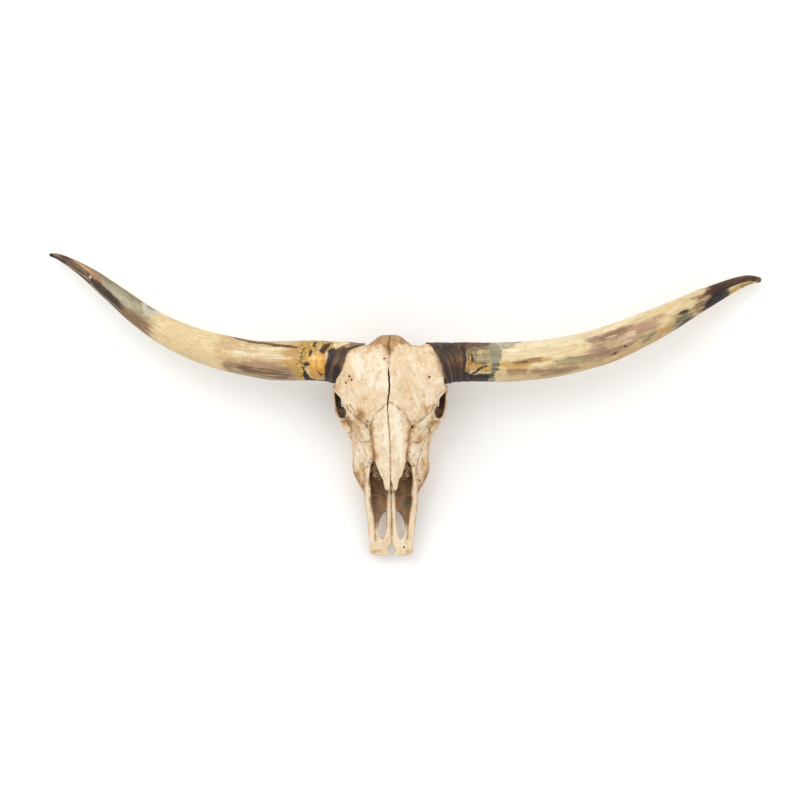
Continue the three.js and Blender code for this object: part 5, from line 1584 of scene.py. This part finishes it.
def makeHornMaterial():
    # The patches' colours, shaded by fibres that run along the horn, with cracks and pores.
    material, nodes = newMaterial("hornKeratin")
    where = nodes.add("ShaderNodeAttribute", attribute_name="hornPlace").outputs["Vector"]
    tint = nodes.add("ShaderNodeAttribute", attribute_name="tint")
    fibre = nodes.noise(nodes.stretch(where, (0.02, 1.0, 1.0)), 520.0, 6.0, 0.66)
    soft = nodes.noise(nodes.stretch(where, (0.3, 1.0, 1.0)), 45.0, 4.0, 0.55)
    fine = useGroup(nodes, grain, Vector=nodes.stretch(where, (0.3, 1.0, 1.0)), Scale=900.0, Pores=0.3)
    split = useGroup(nodes, crackle, Vector=nodes.stretch(where, (0.7, 1.0, 1.0)), Scale=120.0, Width=0.10,
                     Amount=0.8)["Mask"]
    crackled = nodes.times(split, tint.outputs["Alpha"])
    shade = nodes.fit(fibre, 0.34, 0.66, (0.86, 1.10))
    colour = nodes.add("ShaderNodeVectorMath", {0: tint.outputs["Color"], "Scale": shade},
                       operation="SCALE").outputs[0]
    colour = nodes.coats(colour, (crackled, 0.8, hornDirt["cracks"]), (fine["Pores"], 0.3, hornDirt["pores"]))
    rough = nodes.fit(soft, 0.3, 0.7, (0.42, 0.60))
    height = nodes.minus(nodes.plus(nodes.times(fibre, 1.1), fine["Height"]),
                        nodes.times(crackled, 1.2))
    finishMaterial(nodes, colour, rough, height, 0.4, 0.0005, 0.4)
    return material


blotches, crackle, grain = blotchGroup(), crackleGroup(), grainGroup()
boneMaterial, hornMaterial = makeBoneMaterial(), makeHornMaterial()
print("materials made")

skull = buildSkull()
sculptSkull(skull)
combine(skull, both(prism(nasalTip, 88, 300, "z")), "DIFFERENCE")
print("skull sculpted,", len(skull.data.polygons), "faces")
parted = partSkull(skull)
print("skull parted into", len(parted), "bones")
bones = [finishBone(name, thing) for name, thing in parted.items()]
nearOthers(bones)
openness(bones, skull)
drop(skull)
for bone in bones:
    placeBone(bone)
print("bones finished,", sum(len(bone["quads"]) for bone in bones), "faces")
for flip in (1, -1):
    placeScrolls(flip)
for name in ("left", "right"):
    hornPiece(name)
print("horns finished")


studio = {
    "floor": 40.0, "floorColour": (0.93, 0.93, 0.925, 1.0), "world": (1.0, 1.0, 1.0, 1.0), "worldPower": 0.90,
    # Lights: place, power in watts, width in metres.
    "lights": [[(-2.0, 1.7, 3.6), 54, 2.6], [(1.6, 1.2, 3.8), 27, 2.6]],
    "cameraOver": (-0.0119, 0.0077), "subjectHeight": 0.15, "distance": 9.0, "viewWidth": 1.76,
}


def makeStudio():
    # Pale floor, even light from all round, two soft lamps, and a camera that looks straight down.
    half = studio["floor"]
    mesh = bpy.data.meshes.new("floor")
    corners = [(-half, -half, 0), (half, -half, 0), (half, half, 0), (-half, half, 0)]
    mesh.from_pydata(corners, [], [(0, 1, 2, 3)])
    floor = bpy.data.objects.new("floor", mesh)
    bpy.context.scene.collection.objects.link(floor)
    material, nodes = newMaterial("floorPaint")
    shader = nodes.add("ShaderNodeBsdfPrincipled", {"Base Color": studio["floorColour"], "Roughness": 0.9,
                                                    "Specular IOR Level": 0.0})
    nodes.add("ShaderNodeOutputMaterial", {"Surface": shader.outputs[0]})
    mesh.materials.append(material)
    world = bpy.data.worlds.new("paleRoom")
    world.use_nodes = True
    world.node_tree.nodes["Background"].inputs[0].default_value = studio["world"]
    world.node_tree.nodes["Background"].inputs[1].default_value = studio["worldPower"]
    bpy.context.scene.world = world
    for number, (place, power, width) in enumerate(studio["lights"]):
        lamp = bpy.data.lights.new(f"softbox{number}", "AREA")
        lamp.energy, lamp.size = power, width
        light = bpy.data.objects.new(lamp.name, lamp)
        light.location = place
        light.rotation_euler = Vector(place).to_track_quat("Z", "Y").to_euler()
        bpy.context.scene.collection.objects.link(light)
    lens = bpy.data.cameras.new("camera")
    lens.sensor_width = 36
    lens.lens = 36 * studio["distance"] / studio["viewWidth"]
    lens.clip_end = 200
    camera = bpy.data.objects.new("camera", lens)
    camera.location = (*studio["cameraOver"], studio["subjectHeight"] + studio["distance"])
    bpy.context.scene.collection.objects.link(camera)
    bpy.context.scene.camera = camera
    bpy.context.scene.view_settings.view_transform = "Standard"


makeStudio()
print("studio ready")
